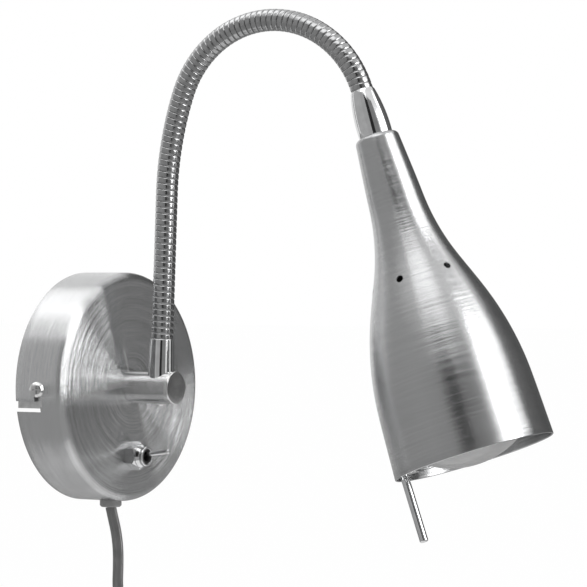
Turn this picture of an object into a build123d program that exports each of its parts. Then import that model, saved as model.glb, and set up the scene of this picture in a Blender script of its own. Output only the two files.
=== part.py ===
from build123d import *
import os
from math import atan, cos, degrees, pi, radians, sin, sqrt, tan

os.makedirs("parts", exist_ok=True)

# A bedside wall reading lamp: a spun cup on the wall, a stub post with a switch below it,
# a flexible metal neck in an arch and a bell shade over a small reflector bulb.
# Millimetres, +Z up. The wall is the plane Y = 0 and the lamp reaches towards -Y.
# The origin is the middle of the cup's back.

# ---- Driving sizes -------------------------------------------------------------------
# Fits
slip = 0.1            # all round, between pieces that slide together and are then held
seat = 0.05           # between a piece and the curved wall that it lies on
running = 0.4         # all round, between spans of the neck that move

# Cup on the wall
cup_dia = 110.0
cup_depth = 27.5      # wall to the front edge of the face
cup_wall = 1.2
cup_corner = 4.0
face_rise = 1.0       # the face is a low cone with a flat middle
face_flat_dia = 20.0
notch_width = 5.0     # bayonet notch in the back rim
notch_depth = 14.4
notch_drop = 8.2      # middle of the notch below its screw

# Bracket on the wall
strap_width = 18.0
strap_thick = 1.6
ear_length = 18.5
tab_width = 16.0
tab_reach = 38.0
wall_screw_spacing = 70.0
wall_screw_slot = 9.0
wall_screw_dia = 4.6
cable_hole_dia = 12.0

# Side screws
side_screw_depth = 13.3
side_screw_dia = 4.0
side_head_dia = 7.4
side_head_high = 2.6

# Post
post_dia = 15.7
post_length = 25.6
post_edge = 0.5
post_thread_dia = 10.0
post_thread_length = 12.5
post_bore = 6.4
post_nut_flats = 14.0
post_nut_high = 3.5
washer_thick = 1.0
washer_dia = 18.0
neck_offset = 45.5    # wall to the vertical line that the neck's plane turns about

# Neck
neck_lean = 2.1       # degrees from upright at the root
neck_turn = 6.3       # degrees that the neck's plane is swung round from square to the wall
neck_root_high = 23.3
neck_root_out = 0.2   # the root stands this far in front of that line
straight_length = 69.4
ease_length = 48.4
ease_turn = 17.3
arch_length = 124.9
arch_turn = 141.8
neck_spans = 17
bands_per_span = 5
neck_dia = 10.5
band_crown = 0.35     # how far a band's middle stands proud of its edges
span_gap = 1.5        # between two spans, measured along the neck
neck_wall_bore = 8.6
nose_length = 2.1
nose_tip_dia = 7.0
nose_land = 0.9
lead_bore = 6.0
web_thick = 1.5
neck_sides = 12       # flats round a band
bore_sides = 8
neck_lead_dia = 4.2
lead_sides = 6
lead_elbow = 5.0
neck_plug_in = 11.0   # how far the neck's ends sit in their ferrules

# Ferrules
root_ferrule_top_dia = 11.6
root_ferrule_dia = 12.7
root_ferrule_round = 0.7
root_shank_dia = 9.0
root_skirt_drop = 3.0  # the skirt is cut to the post from this far above its axis
root_floor_low = 3.8
root_floor_thick = 1.5
fixing_screw_dia = 4.0
fixing_head_dia = 5.6
fixing_head_high = 1.6
fixing_spot = 0.45
head_ferrule_length = 22.4
head_ferrule_top_dia = 11.2
head_ferrule_mid_dia = 15.0
head_ferrule_dia = 15.8
head_ferrule_belly = 0.42   # where the middle size is taken, as a share of the length

# Shade
shade_length = 155.9
shade_wall = 0.9
mouth_dia = 75.5
skirt_dia = 73.4
skirt_length = 28.0
hip_dia = 51.0
hip_length = 79.0
vent_band = 13.0      # straight cone that the vents are drilled in
waist_dia = 25.6
waist_length = 128.0
crown_dia = 20.8
crown_corner = 1.6
vent_count = 6
vent_dia = 3.4
vent_along = 86.0     # from the mouth
vent_phase = 28.0

# Lampholder and bulb
nipple_dia = 10.0
nipple_bore = 7.2
nipple_length = 58.0
nipple_start = 13.0   # from the neck's end
shade_nut_flats = 14.0
shade_nut_high = 3.0
holder_start = 66.0
holder_length = 50.0
holder_dia = 27.0
holder_neck_dia = 16.0
holder_neck_length = 9.0
holder_shoulder = 7.0
holder_floor = 24.0   # from the holder's back to the floor of its bulb well
shell_wall = 0.6
cap_dia = 13.9
cap_length = 19.0
bulb_dia = 50.0
bulb_length = 85.0
bulb_neck_dia = 17.0
bulb_face_radius = 42.0
bulb_past_mouth = 3.3
glass_thick = 0.9
contact_dia = 5.0      # the bulb's foot contact
contact_high = 2.0
spring_rim = 0.5      # the holder's contact stands this far out past the bulb's
spring_pin_dia = 3.4
shell_short = 2.0     # the screw shell ends this far inside the holder

# Handle rod
rod_dia = 4.0
rod_tip = 1.0
rod_past_mouth = 30.0
rod_inside = 30.0
rod_phase = 343.0
rod_to_shade = 1.4    # between rod and shade
clip_length = 14.0
clip_width = 9.0
clip_from_mouth = 1.8

# Switch
switch_drop = 33.0
switch_nut_flats = 12.0
switch_nut_high = 5.6
switch_collar_dia = 9.5
switch_collar_high = 9.0
switch_bush_dia = 7.0
switch_bush_short = 0.4
switch_mouth_dia = 5.2
switch_throat_dia = 3.6
switch_body_wide = 8.4
switch_body_high = 13.2
switch_body_deep = 9.5
switch_tag_long = 4.5
switch_washer_thick = 0.6
switch_washer_dia = 11.0
lever_dia = 2.0
lever_tip_dia = 2.6
lever_past_collar = 13.4
lever_pivot = 2.6     # in front of the cup's face
lever_ball_dia = 3.0
lever_rest_tilt = 9.4

# Inside the cup
block_wide = 17.0
block_high = 13.0
block_deep = 10.0
block_low = 21.0
block_bolt_dia = 3.0
screw_well_dia = 3.8
lead_dia = 5.2

# Gland and cord
gland_dia = 10.5
gland_high = 3.2
gland_shank_dia = 8.0
gland_shank_long = 6.0
gland_depth = 14.8    # from the wall
cord_dia = 5.2
cord_sides = 5
turn_pitch = 6.8
layer_pitch = 6.2
coil_radius = 35.6
coil_half_turns = 14
coil_back = 4.4       # from the wall to the middle of the last layer
coil_centre_x = -24.0
coil_centre_z = -149.0
tie_width = 9.0
tie_thick = 1.2
tie_slack = 0.5

# Plug
plug_wide = 35.3
plug_thick = 13.7
plug_long = 24.0
plug_shoulder = 13.0
plug_flare = 9.0      # length over which the body widens
plug_neck_dia = 8.4
plug_neck_long = 12.0
pin_dia = 4.0
pin_length = 19.0
pin_spacing_root = 18.6
pin_spacing_tip = 17.5
pin_round = 1.2

# ---- Helpers -------------------------------------------------------------------------
def save(part, name):
    """Write one node."""
    export_step(part, "parts/" + name + ".step")
    return part


def spun(*corners):
    """A turned solid about Z from (radius, height) corners."""
    profile = make_face(Plane.XZ * Polyline(*corners, close=True))
    return revolve(profile, Axis.Z)


def chords(curve, count):
    """Points spaced along a curve, so that what is turned from it is that many plain cones."""
    return [curve @ (i / count) for i in range(count + 1)]


def rod(radius, low, high):
    """A cylinder about Z from one height to another."""
    return Pos(0, 0, low) * Cylinder(radius, high - low, align=(Align.CENTER, Align.CENTER, Align.MIN))


def tube(radius, bore, low, high):
    return rod(radius, low, high) - rod(bore, low - 1, high + 1)


def hexagon(flats, low, high, turn=0):
    """A hexagonal prism about Z."""
    sketch = RegularPolygon(flats / 2, 6, major_radius=False, rotation=turn)
    return Pos(0, 0, low) * extrude(sketch, high - low)


def block(size, low):
    """A box centred in X and Y with its low face at the given height."""
    return Pos(0, 0, low) * Box(*size, align=(Align.CENTER, Align.CENTER, Align.MIN))


def at(plane, part):
    return Location(plane) * part


def pan_head(radius, high, low):
    """A domed screw head standing on the given height."""
    return Pos(0, 0, low) * spun((0, 0), (radius, 0), (radius, 0.45 * high), (0.55 * radius, high), (0, high))


def cord_radii(points, diameter, name):
    """The radius of each corner: 0.45 of the shorter run over the tangent of half the turn."""
    radii = []
    for before, here, after in zip(points, points[1:], points[2:]):
        arriving, leaving = Vector(*here) - Vector(*before), Vector(*after) - Vector(*here)
        turn = radians(arriving.get_angle(leaving))
        radii.append(0.45 * min(arriving.length, leaving.length) / tan(turn / 2))
    print(f"{name}: radii", " ".join(f"{r:.0f}" for r in radii), f"mm, least {min(radii) / diameter:.1f} diameters")
    return radii


def cord_tube(points, diameter, name):
    path = FilletPolyline(*points, radius=cord_radii(points, diameter, name))
    start = Plane(origin=path @ 0, z_dir=path % 0)
    section = start * RegularPolygon(diameter / 2, lead_sides)
    solid = sweep(section, path=path)
    ideal = section.area * path.length
    print(f"{name}: {path.length:.0f} mm long, volume {solid.volume / ideal:.4f} of the ideal")
    return solid, path.length


# ---- Where things are ----------------------------------------------------------------
cup_radius = cup_dia / 2
face_edge = cup_radius - cup_corner


def face_depth(radius):
    """How far the front of the cup stands off the wall at a radius."""
    flat = face_flat_dia / 2
    share = (face_edge - max(radius, flat)) / (face_edge - flat)
    return cup_depth + face_rise * min(1, share)


face_middle = face_depth(0)
post_end = face_middle + post_length


def facing_room(x, depth, z, tilt=0):
    """A plane whose Z points away from the wall; tilt turns it down, in degrees."""
    out = (0, -cos(radians(tilt)), -sin(radians(tilt)))
    return Plane(origin=(x, -depth, z), x_dir=(1, 0, 0), z_dir=out)


outward = Vector(sin(radians(neck_turn)), -cos(radians(neck_turn)), 0)
sideways = Vector(cos(radians(neck_turn)), sin(radians(neck_turn)), 0)
upward = Vector(0, 0, 1)
neck_length = straight_length + ease_length + arch_length
span_length = neck_length / neck_spans
band_pitch = span_length / bands_per_span


def neck_state(along):
    """Distance out, height and heading (radians from upright) at a length along the neck."""
    out, high, heading = neck_root_out, neck_root_high, radians(neck_lean)
    left = along
    stretches = ((straight_length, 0), (ease_length, ease_turn), (arch_length, arch_turn))
    for length, turn in stretches:
        step = min(left, length)
        if turn == 0 or step <= 0:
            out += step * sin(heading)
            high += step * cos(heading)
        else:
            radius = length / radians(turn)
            after = heading + step / radius
            out += radius * (cos(heading) - cos(after))
            high += radius * (sin(after) - sin(heading))
            heading = after
        left -= step
        if left <= 0:
            return out, high, heading
    return out + left * sin(heading), high + left * cos(heading), heading


def neck_point(along):
    out, high, heading = neck_state(along)
    return Vector(0, -neck_offset, 0) + outward * out + upward * high


def neck_frame(along):
    """A plane square to the neck, its Z along the neck and its X towards the inside of the arch."""
    heading = neck_state(along)[2]
    return Plane(
        origin=neck_point(along),
        x_dir=outward * cos(heading) - upward * sin(heading),
        z_dir=outward * sin(heading) + upward * cos(heading),
    )


root_frame = neck_frame(0)
head_frame = neck_frame(neck_length)


def along_neck(rings, sides):
    """A faceted solid through rings given as (length along the neck, radius to the corners)."""
    return loft([neck_frame(s) * RegularPolygon(r, sides) for s, r in rings], ruled=True)


def bore_along_neck(low, high, radius):
    """A faceted bore that a round piece of the given radius passes."""
    corner = radius / cos(pi / bore_sides)
    return along_neck([(low, corner), ((low + high) / 2, corner), (high, corner)], bore_sides)


# ---- Cup, bracket and their screws ----------------------------------------------------
def cup_form(inset, back, corner_strips):
    """The cup as a solid, each face moved in by the inset."""
    radius = cup_radius - inset
    corner = cup_corner - inset
    edge = cup_depth - inset
    middle = face_middle - inset
    rounding = RadiusArc((radius, -edge + corner), (radius - corner, -edge), corner)
    outline = chords(rounding, corner_strips) + [(face_flat_dia / 2, -middle), (0, -middle), (0, back), (radius, back)]
    return revolve(make_face(Polyline(*outline, close=True)), Axis.Y)


def bayonet_notch():
    """The cut that goes over a side screw on the -X side: in from the rim, then across to the screw."""
    reach = cup_wall + 4
    leg = side_screw_dia + 4 * slip
    entry = Box(reach, notch_depth, notch_width, align=(Align.CENTER, Align.MAX, Align.CENTER))
    across = Box(reach, leg, notch_drop, align=(Align.CENTER, Align.CENTER, Align.MAX))
    end = Rot(0, 90, 0) * Cylinder(leg / 2, reach)
    x = -cup_radius + cup_wall / 2
    cut = Pos(x, 0, -notch_drop) * entry
    cut += Pos(x, -side_screw_depth, 0) * (across + end)
    return cut


canopy = cup_form(0, 0, 3) - cup_form(cup_wall, 1, 1)
for half in (0, 180):
    canopy -= Rot(0, half, 0) * bayonet_notch()
canopy -= at(facing_room(0, face_middle, 0), rod(post_thread_dia / 2 + slip, -cup_wall - 1, 1))

switch_depth = face_depth(switch_drop)
switch_tilt = degrees(atan(face_rise / (face_edge - face_flat_dia / 2)))
switch_frame = facing_room(0, switch_depth, -switch_drop, switch_tilt)
canopy -= at(switch_frame, rod(switch_bush_dia / 2 + slip, -cup_wall - 1, 1))
canopy -= Pos(0, -gland_depth, 0) * rod(gland_shank_dia / 2 + slip, -cup_radius - 1, -cup_radius + 4)
save(canopy, "canopy")

ear_out = sqrt((cup_radius - cup_wall) ** 2 - (strap_width / 2) ** 2) - 3 * slip
strap_plan = Polyline(
    (-ear_out, 0), (ear_out, 0), (ear_out, -ear_length), (ear_out - strap_thick, -ear_length),
    (ear_out - strap_thick, -strap_thick), (-ear_out + strap_thick, -strap_thick),
    (-ear_out + strap_thick, -ear_length), (-ear_out, -ear_length), close=True,
)
wall_bracket = extrude(make_face(strap_plan), strap_width / 2, both=True)
tab = Box(tab_width, strap_thick, tab_reach, align=(Align.CENTER, Align.MAX, Align.MIN))
wall_bracket += tab + Rot(0, 180, 0) * tab
wall_bracket -= Rot(90, 0, 0) * rod(cable_hole_dia / 2, -1, strap_thick + 1)
for side in (-1, 1):
    slot = Rot(90, 0, 0) * extrude(SlotOverall(wall_screw_slot, wall_screw_dia), strap_thick + 1, both=True)
    wall_bracket -= Pos(side * wall_screw_spacing / 2, 0, 0) * slot
    tapped = Rot(0, 90, 0) * rod(side_screw_dia / 2 + slip, -strap_thick - 1, strap_thick + 1)
    wall_bracket -= Pos(side * (ear_out - strap_thick / 2), -side_screw_depth, 0) * tapped
save(wall_bracket, "wall_bracket")

side_screw = rod(side_screw_dia / 2, -(cup_radius - ear_out + 2 * strap_thick), seat)
side_screw += pan_head(side_head_dia / 2, side_head_high, seat)
side_screws = []
for side in (-1, 1):
    place = Plane(origin=(side * cup_radius, -side_screw_depth, 0), x_dir=(0, 0.8, 0.6), z_dir=(side, 0, 0))
    side_screws.append(at(place, side_screw))
save(Compound(side_screws), "side_screws")

# ---- Post and what holds it -----------------------------------------------------------
post_frame = facing_room(0, face_middle, 0)
arm_post = spun(
    (0, -post_thread_length), (post_thread_dia / 2, -post_thread_length), (post_thread_dia / 2, 0),
    (post_dia / 2, 0), (post_dia / 2, post_length - post_edge), (post_dia / 2 - post_edge, post_length),
    (0, post_length),
)
socket_top = neck_root_high / cos(radians(neck_lean))
socket_floor = -socket_top - root_floor_low
neck_crossing = neck_root_out - neck_root_high * tan(radians(neck_lean))
bore_end = neck_offset - neck_crossing - face_middle
arm_post -= rod(post_bore / 2, -post_thread_length - 1, bore_end)
arm_post = at(post_frame, arm_post)
arm_post -= at(root_frame, rod(root_shank_dia / 2 + slip, socket_floor, -1))
spot_face = -socket_top - post_dia / 2 + fixing_spot
arm_post -= at(root_frame, rod(fixing_screw_dia / 2 + slip, spot_face - 2, socket_floor + 1))
arm_post -= at(root_frame, rod(fixing_head_dia / 2 + slip, spot_face - 3, spot_face))
save(arm_post, "arm_post")

behind_face = -cup_wall
post_washer = tube(washer_dia / 2, post_thread_dia / 2 + slip, behind_face - washer_thick, behind_face)
save(at(post_frame, post_washer), "post_washer")
nut_front = behind_face - washer_thick
post_nut = hexagon(post_nut_flats, nut_front - post_nut_high, nut_front)
post_nut -= rod(post_thread_dia / 2 + slip, nut_front - post_nut_high - 1, nut_front + 1)
save(at(post_frame, post_nut), "post_nut")

fixing_screw = rod(fixing_screw_dia / 2, spot_face, socket_floor + root_floor_thick)
fixing_screw += Pos(0, 0, spot_face) * Rot(180, 0, 0) * pan_head(fixing_head_dia / 2, fixing_head_high, 0)
save(at(root_frame, fixing_screw), "neck_fixing_screw")

# ---- Lower ferrule ---------------------------------------------------------------------
valley_radius = neck_dia / 2 - band_crown
rim = root_ferrule_top_dia / 2
skirt_low = -socket_top + root_skirt_drop
lower_ferrule = spun(
    (0, socket_floor), (root_shank_dia / 2, socket_floor), (root_shank_dia / 2, skirt_low),
    (root_ferrule_dia / 2, skirt_low), (root_ferrule_dia / 2, -neck_root_high + post_dia / 2),
    (rim, -root_ferrule_round), (rim - root_ferrule_round, 0), (0, 0),
)
lower_ferrule -= rod(valley_radius + slip, -neck_plug_in, 1)
lower_ferrule -= rod(post_bore / 2, socket_floor + root_floor_thick, 1)
lower_ferrule -= rod(fixing_screw_dia / 2 + slip, socket_floor - 1, socket_floor + root_floor_thick + 1)
lower_ferrule = at(root_frame, lower_ferrule)
post_skin = at(post_frame, tube(post_dia, post_dia / 2, -1, post_length + 5))
shank_zone = at(root_frame, rod(root_shank_dia / 2, socket_floor - 1, 1))
lower_ferrule = (lower_ferrule & post_skin) + (lower_ferrule & shank_zone)
lower_ferrule -= at(post_frame, rod(post_bore / 2, -post_thread_length, bore_end))
save(lower_ferrule, "lower_ferrule")

# ---- Neck spans ------------------------------------------------------------------------
wall_bore = neck_wall_bore / 2
nose_radius = wall_bore - running


def neck_span(number):
    """One span of the neck: bands with a groove between each two, a nose at its lower end that stands in
    the bore of the span below, and a bore for the lead."""
    low = (number - 1) * span_length
    high = low + span_length
    first, last = number == 1, number == neck_spans
    body_low = low if first else low + span_gap / 2
    body_high = high if last else high - span_gap / 2
    rings = [(body_low, valley_radius)]
    for band in range(bands_per_span):
        rings.append((low + (band + 0.5) * band_pitch, neck_dia / 2))
        if band < bands_per_span - 1:
            rings.append((low + (band + 1) * band_pitch, valley_radius))
    rings.append((body_high, valley_radius))
    if first:
        rings.insert(0, (low - neck_plug_in + slip, valley_radius))
    if last:
        rings.append((high + neck_plug_in - slip, valley_radius))
    span = along_neck(rings, neck_sides)
    web_top = body_low + web_thick
    if not first:
        span += along_neck([(low - nose_length, nose_tip_dia / 2), (low - nose_land, nose_radius),
                            (body_low + web_thick / 2, nose_radius)], bore_sides)
    bore_low = rings[0][0] if first else low - nose_length
    bore_high = rings[-1][0]
    span -= bore_along_neck(bore_low - 1, bore_high + 1, lead_bore / 2)
    if not last:
        span -= bore_along_neck(web_top, high + 1, wall_bore)
    return span


for number in range(1, neck_spans + 1):
    save(neck_span(number), f"neck_span_{number:02d}")

# ---- Upper ferrule ---------------------------------------------------------------------
upper_side = ThreePointArc(
    (head_ferrule_top_dia / 2, 0), (head_ferrule_mid_dia / 2, head_ferrule_belly * head_ferrule_length),
    (head_ferrule_dia / 2, head_ferrule_length),
)
upper_ferrule = spun(*chords(upper_side, 4), (0, head_ferrule_length), (0, 0))
upper_ferrule -= rod(valley_radius + slip, -1, neck_plug_in)
upper_ferrule -= rod(lead_bore / 2, neck_plug_in - 1, nipple_start + 1)
upper_ferrule -= rod(nipple_dia / 2 + slip, nipple_start, head_ferrule_length + 1)
save(at(head_frame, upper_ferrule), "upper_ferrule")

# ---- Shade -----------------------------------------------------------------------------
shade_top = head_ferrule_length
mouth = shade_top + shade_length


def shade_form(inset, past_mouth, top_inset, strips):
    """The bell as a solid: a skirt, a hip that draws in, a straight band for the vents, a waist that
    straightens out, and a crown."""
    def corner_at(diameter, from_mouth):
        return (diameter / 2 - inset, mouth - from_mouth)

    open_end = (mouth_dia / 2 - inset, mouth + past_mouth)
    lip = corner_at(mouth_dia, 0)
    skirt = corner_at(skirt_dia, skirt_length)
    hip = corner_at(hip_dia, hip_length)
    waist = corner_at(waist_dia, waist_length)
    top = shade_top + top_inset
    corner = crown_corner - inset / 2
    crown = (crown_dia / 2 - inset, top + corner)
    shoulder = (crown_dia / 2 - inset - corner, top)
    skirt_line = Line(lip, skirt)
    hip_arc = TangentArc(skirt, hip, tangent=skirt_line % 1)
    band_line = Line(hip, Vector(*hip) + (hip_arc % 1) * vent_band)
    waist_arc = TangentArc(band_line @ 1, waist, tangent=band_line % 1)
    shoulder_arc = RadiusArc(crown, shoulder, -corner)
    outline = chords(hip_arc, strips) + chords(waist_arc, strips) + chords(shoulder_arc, strips // 2)
    outline += [(0, top), (0, mouth + past_mouth), open_end]
    if past_mouth > 0:
        outline.append(lip)
    return spun(*outline), band_line


shade_outer, vent_line = shade_form(0, 0, 0, 5)
shade_inner = shade_form(shade_wall, 1, shade_wall, 3)[0]
shade = shade_outer - shade_inner
shade -= rod(nipple_dia / 2 + slip, shade_top - 1, shade_top + 2)
vent_slope = degrees(atan((vent_line % 0).X / (vent_line % 0).Y))
vent_radius = (vent_line @ 0).X - (vent_along - hip_length) * tan(radians(vent_slope))
for vent in range(vent_count):
    drill = Rot(0, 90 + vent_slope, 0) * rod(vent_dia / 2, -4, 4)
    shade -= Rot(0, 0, vent_phase + vent * 360 / vent_count) * (Pos(vent_radius, 0, mouth - vent_along) * drill)
save(at(head_frame, shade), "shade")

# ---- Nipple, nut and lampholder ---------------------------------------------------------
nipple_end = nipple_start + nipple_length
shade_nipple = tube(nipple_dia / 2, nipple_bore / 2, nipple_start, nipple_end)
save(at(head_frame, shade_nipple), "shade_nipple")
nut_at = shade_top + shade_wall
shade_nut = hexagon(shade_nut_flats, nut_at, nut_at + shade_nut_high)
shade_nut -= rod(nipple_dia / 2 + slip, nut_at - 1, nut_at + shade_nut_high + 1)
save(at(head_frame, shade_nut), "shade_nut")

holder_end = holder_start + holder_length
well_floor = holder_start + holder_floor
shell_radius = cap_dia / 2 + slip + shell_wall
lampholder_body = spun(
    (0, holder_start), (holder_neck_dia / 2, holder_start),
    (holder_neck_dia / 2, holder_start + holder_neck_length),
    (holder_dia / 2, holder_start + holder_neck_length + holder_shoulder),
    (holder_dia / 2, holder_end), (0, holder_end),
)
lampholder_body -= rod(nipple_dia / 2 + slip, holder_start - 1, nipple_end + slip)
lampholder_body -= rod(lead_bore / 2, holder_start, nipple_end + 3)
lampholder_body -= rod(shell_radius + slip, well_floor, holder_end + 1)
save(at(head_frame, lampholder_body), "lampholder_body")

bulb_tip = mouth + bulb_past_mouth
bulb_back = bulb_tip - bulb_length
cap_back = bulb_back + contact_high
lampholder_shell = tube(shell_radius, shell_radius - shell_wall, well_floor, holder_end - shell_short)
save(at(head_frame, lampholder_shell), "lampholder_shell")
lampholder_contact = rod(contact_dia / 2 + spring_rim, well_floor, well_floor + 1)
lampholder_contact += rod(spring_pin_dia / 2, well_floor + 1, bulb_back)
save(at(head_frame, lampholder_contact), "lampholder_contact")

# ---- Bulb ------------------------------------------------------------------------------
cap_front = cap_back + cap_length
bulb_contact = spun((0, bulb_back), (contact_dia / 2 - 1, bulb_back), (contact_dia / 2, bulb_back + 1),
                    (contact_dia / 2, cap_back), (0, cap_back))
save(at(head_frame, bulb_contact), "bulb_contact")
bulb_cap = spun((0, cap_back), (cap_dia / 2 - 2, cap_back), (cap_dia / 2, cap_back + 2.5),
                (cap_dia / 2, cap_front), (0, cap_front))
save(at(head_frame, bulb_cap), "bulb_cap")


def bulb_form(inset, back, strips):
    """The bulb as a solid: a neck, a flaring cone, a rounded edge and a shallow domed face."""
    widest = bulb_dia / 2 - inset
    face_rim = 0.88 * widest
    dome = bulb_face_radius - inset
    tip = bulb_tip - inset
    rim_high = tip - dome + sqrt(dome ** 2 - face_rim ** 2)
    edge = (widest, rim_high - 5)
    neck = bulb_neck_dia / 2 - inset
    cone = ThreePointArc((neck, cap_front + 9), (widest - 6, rim_high - 21), edge)
    rounding = TangentArc(edge, (face_rim, rim_high), tangent=(0, 1))
    face = RadiusArc((face_rim, rim_high), (0, tip), -dome)
    outline = [(0, back), (neck, back)] + chords(cone, strips) + chords(rounding, strips)[1:]
    return spun(*outline, *chords(face, strips)[1:])


bulb_glass = bulb_form(0, cap_front, 3) - bulb_form(glass_thick, cap_front - 1, 1)
save(at(head_frame, bulb_glass), "bulb_glass")

# ---- Handle rod -------------------------------------------------------------------------
rod_axis_radius = mouth_dia / 2 - shade_wall - rod_to_shade - rod_dia / 2
handle_rod = spun(
    (0, mouth - rod_inside), (rod_dia / 2, mouth - rod_inside), (rod_dia / 2, mouth + rod_past_mouth - rod_tip),
    (rod_dia / 2 - rod_tip, mouth + rod_past_mouth), (0, mouth + rod_past_mouth),
)
rod_place = Rot(0, 0, rod_phase) * Pos(rod_axis_radius, 0, 0)
save(at(head_frame, rod_place * handle_rod), "handle_rod")
clip_low = mouth - clip_from_mouth - clip_length
clip_box = block((4 * rod_dia, clip_width, clip_length), clip_low)
clip_zone = shade_form(shade_wall + seat, 1, 5, 3)[0]
handle_clip = (rod_place * (Pos(rod_dia / 2, 0, 0) * clip_box)) & clip_zone
handle_clip -= rod_place * rod(rod_dia / 2 + seat, clip_low - 1, clip_low + clip_length + 1)
save(at(head_frame, handle_clip), "handle_clip")

# ---- Lead through the post and neck ------------------------------------------------------
block_depth = strap_thick + block_deep / 2
post_line = neck_point(-socket_top)
port = (-block_wide / 4, -block_depth, block_low)
elbow_points = [
    port, (port[0], port[1], block_low - 8), (port[0] + 2.4, -8.4, 4.6), (post_line.X, -13.4, 0),
    (post_line.X, post_line.Y, 0), tuple(neck_point(0)),
]
elbow_radii = cord_radii(elbow_points[:-1], neck_lead_dia, "neck_lead") + [lead_elbow]
elbow = FilletPolyline(*elbow_points, radius=elbow_radii)
lead_line = Line(neck_point(0), neck_point(straight_length))
ease_end = straight_length + ease_length
ease_arc = ThreePointArc(neck_point(straight_length), neck_point((straight_length + ease_end) / 2),
                         neck_point(ease_end))
arch_arc = ThreePointArc(neck_point(ease_end), neck_point((ease_end + neck_length) / 2), neck_point(neck_length))
lead_end = Line(neck_point(neck_length), neck_point(neck_length + nipple_end))
neck_lead_path = elbow + lead_line + ease_arc + arch_arc + lead_end
lead_section = Plane(origin=port, z_dir=(0, 0, -1)) * RegularPolygon(neck_lead_dia / 2, lead_sides)
neck_lead = sweep(lead_section, path=neck_lead_path)
save(neck_lead, "neck_lead")
lead_ideal = lead_section.area * neck_lead_path.length
print(f"neck lead: {neck_lead_path.length:.0f} mm long, volume {neck_lead.volume / lead_ideal:.4f} of the ideal")

# ---- Switch ------------------------------------------------------------------------------
nut_body = hexagon(switch_nut_flats, 0, switch_nut_high, 90)
nut_cone = spun((0, -1), (switch_nut_flats, -1), (switch_nut_flats * 0.58, switch_nut_high - 1.2),
                (switch_nut_flats * 0.5, switch_nut_high), (0, switch_nut_high))
collar = spun((0, switch_nut_high - 1), (switch_nut_flats / 2 - 0.3, switch_nut_high - 1),
              (switch_nut_flats / 2 - 0.3, switch_nut_high), (switch_collar_dia / 2, switch_nut_high + 1.6),
              (switch_collar_dia / 2, switch_collar_high), (0, switch_collar_high))
switch_nut = (nut_body & nut_cone) + collar
switch_nut -= rod(switch_bush_dia / 2 + slip, -1, switch_collar_high + 1)
save(at(switch_frame, switch_nut), "switch_nut")

panel_back = -cup_wall - seat
body_front = panel_back - switch_washer_thick
bush_front = switch_collar_high - switch_bush_short
ball_clear = lever_ball_dia / 2 + 0.3
switch_bush = spun(
    (0, body_front), (switch_bush_dia / 2, body_front), (switch_bush_dia / 2, bush_front),
    (switch_mouth_dia / 2, bush_front), (switch_throat_dia / 2, lever_pivot + 1),
    (ball_clear, lever_pivot + 0.6), (ball_clear, lever_pivot - ball_clear), (0, lever_pivot - ball_clear),
)
save(at(switch_frame, switch_bush), "switch_bush")
switch_washer = tube(switch_washer_dia / 2, switch_bush_dia / 2 + slip, body_front, panel_back)
save(at(switch_frame, switch_washer), "switch_washer")
switch_body = block((switch_body_wide, switch_body_high, switch_body_deep), body_front - switch_body_deep)
switch_body = chamfer(switch_body.edges().filter_by(Axis.Z), 0.6)
save(at(switch_frame, switch_body), "switch_body")
tag = Box(3, 0.8, switch_tag_long, align=(Align.CENTER, Align.CENTER, Align.MAX))
body_rear = body_front - switch_body_deep
switch_tags = [at(switch_frame, Pos(0, side * switch_body_high / 4, body_rear) * tag) for side in (-1, 1)]
save(Compound(switch_tags), "switch_tags")

lever_frame = switch_frame * Location((0, 0, lever_pivot)) * Location((0, 0, 0), (-lever_rest_tilt, 0, 0))
lever_long = switch_collar_high - lever_pivot + lever_past_collar
ball_radius = lever_ball_dia / 2
switch_lever = spun(
    (0, -ball_radius), (0.87 * ball_radius, -0.5 * ball_radius), (0.87 * ball_radius, 0.5 * ball_radius),
    (lever_dia / 2, ball_radius), (lever_tip_dia / 2, lever_long - 0.9), (0.5 * lever_tip_dia / 2, lever_long),
    (0, lever_long),
)
save(Location(lever_frame) * switch_lever, "switch_lever")

# ---- Terminal block and leads inside the cup ------------------------------------------------
tab_face = facing_room(0, strap_thick, block_low + block_high / 2)
terminal_block = block((block_wide, block_high, block_deep), 0)
terminal_block = chamfer(terminal_block.edges().filter_by(Axis.Z), 0.8)
for side in (-1, 1):
    terminal_block -= Pos(side * block_wide / 4, 0, 0) * rod(screw_well_dia / 2, block_deep - 2, block_deep + 1)
terminal_block -= rod(block_bolt_dia / 2 + slip, -1, block_deep + 1)
save(at(tab_face, terminal_block), "terminal_block")
terminal_screws = []
for side in (-1, 1):
    grub = Pos(side * block_wide / 4, 0, 0) * rod(screw_well_dia / 2 - slip, block_deep - 2, block_deep - 0.4)
    terminal_screws.append(at(tab_face, grub))
save(Compound(terminal_screws), "terminal_screws")
block_bolt = rod(block_bolt_dia / 2, 0, block_deep) + pan_head(2.6, 1.8, block_deep)
save(at(tab_face, block_bolt), "block_bolt")

# ---- Gland ---------------------------------------------------------------------------------
gland_low = -cup_radius - gland_high
gland_top = -cup_radius + gland_shank_long
gland_bore = lead_dia / 2 + 2 * slip
cord_gland = rod(gland_dia / 2, gland_low + 0.8, -cup_radius + 1)
cord_gland += spun((0, gland_low), (gland_dia / 2 - 0.8, gland_low), (gland_dia / 2, gland_low + 0.8),
                   (0, gland_low + 0.8))
cord_gland = Pos(0, -gland_depth, 0) * cord_gland
cord_gland -= Rot(90, 0, 0) * Cylinder(cup_radius + seat, 2 * cup_depth)
cord_gland += Pos(0, -gland_depth, 0) * rod(gland_shank_dia / 2, -cup_radius - 1, gland_top)
cord_gland -= Pos(0, -gland_depth, 0) * rod(gland_bore, gland_low - 1, gland_top + 1)
save(cord_gland, "cord_gland")

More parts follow.
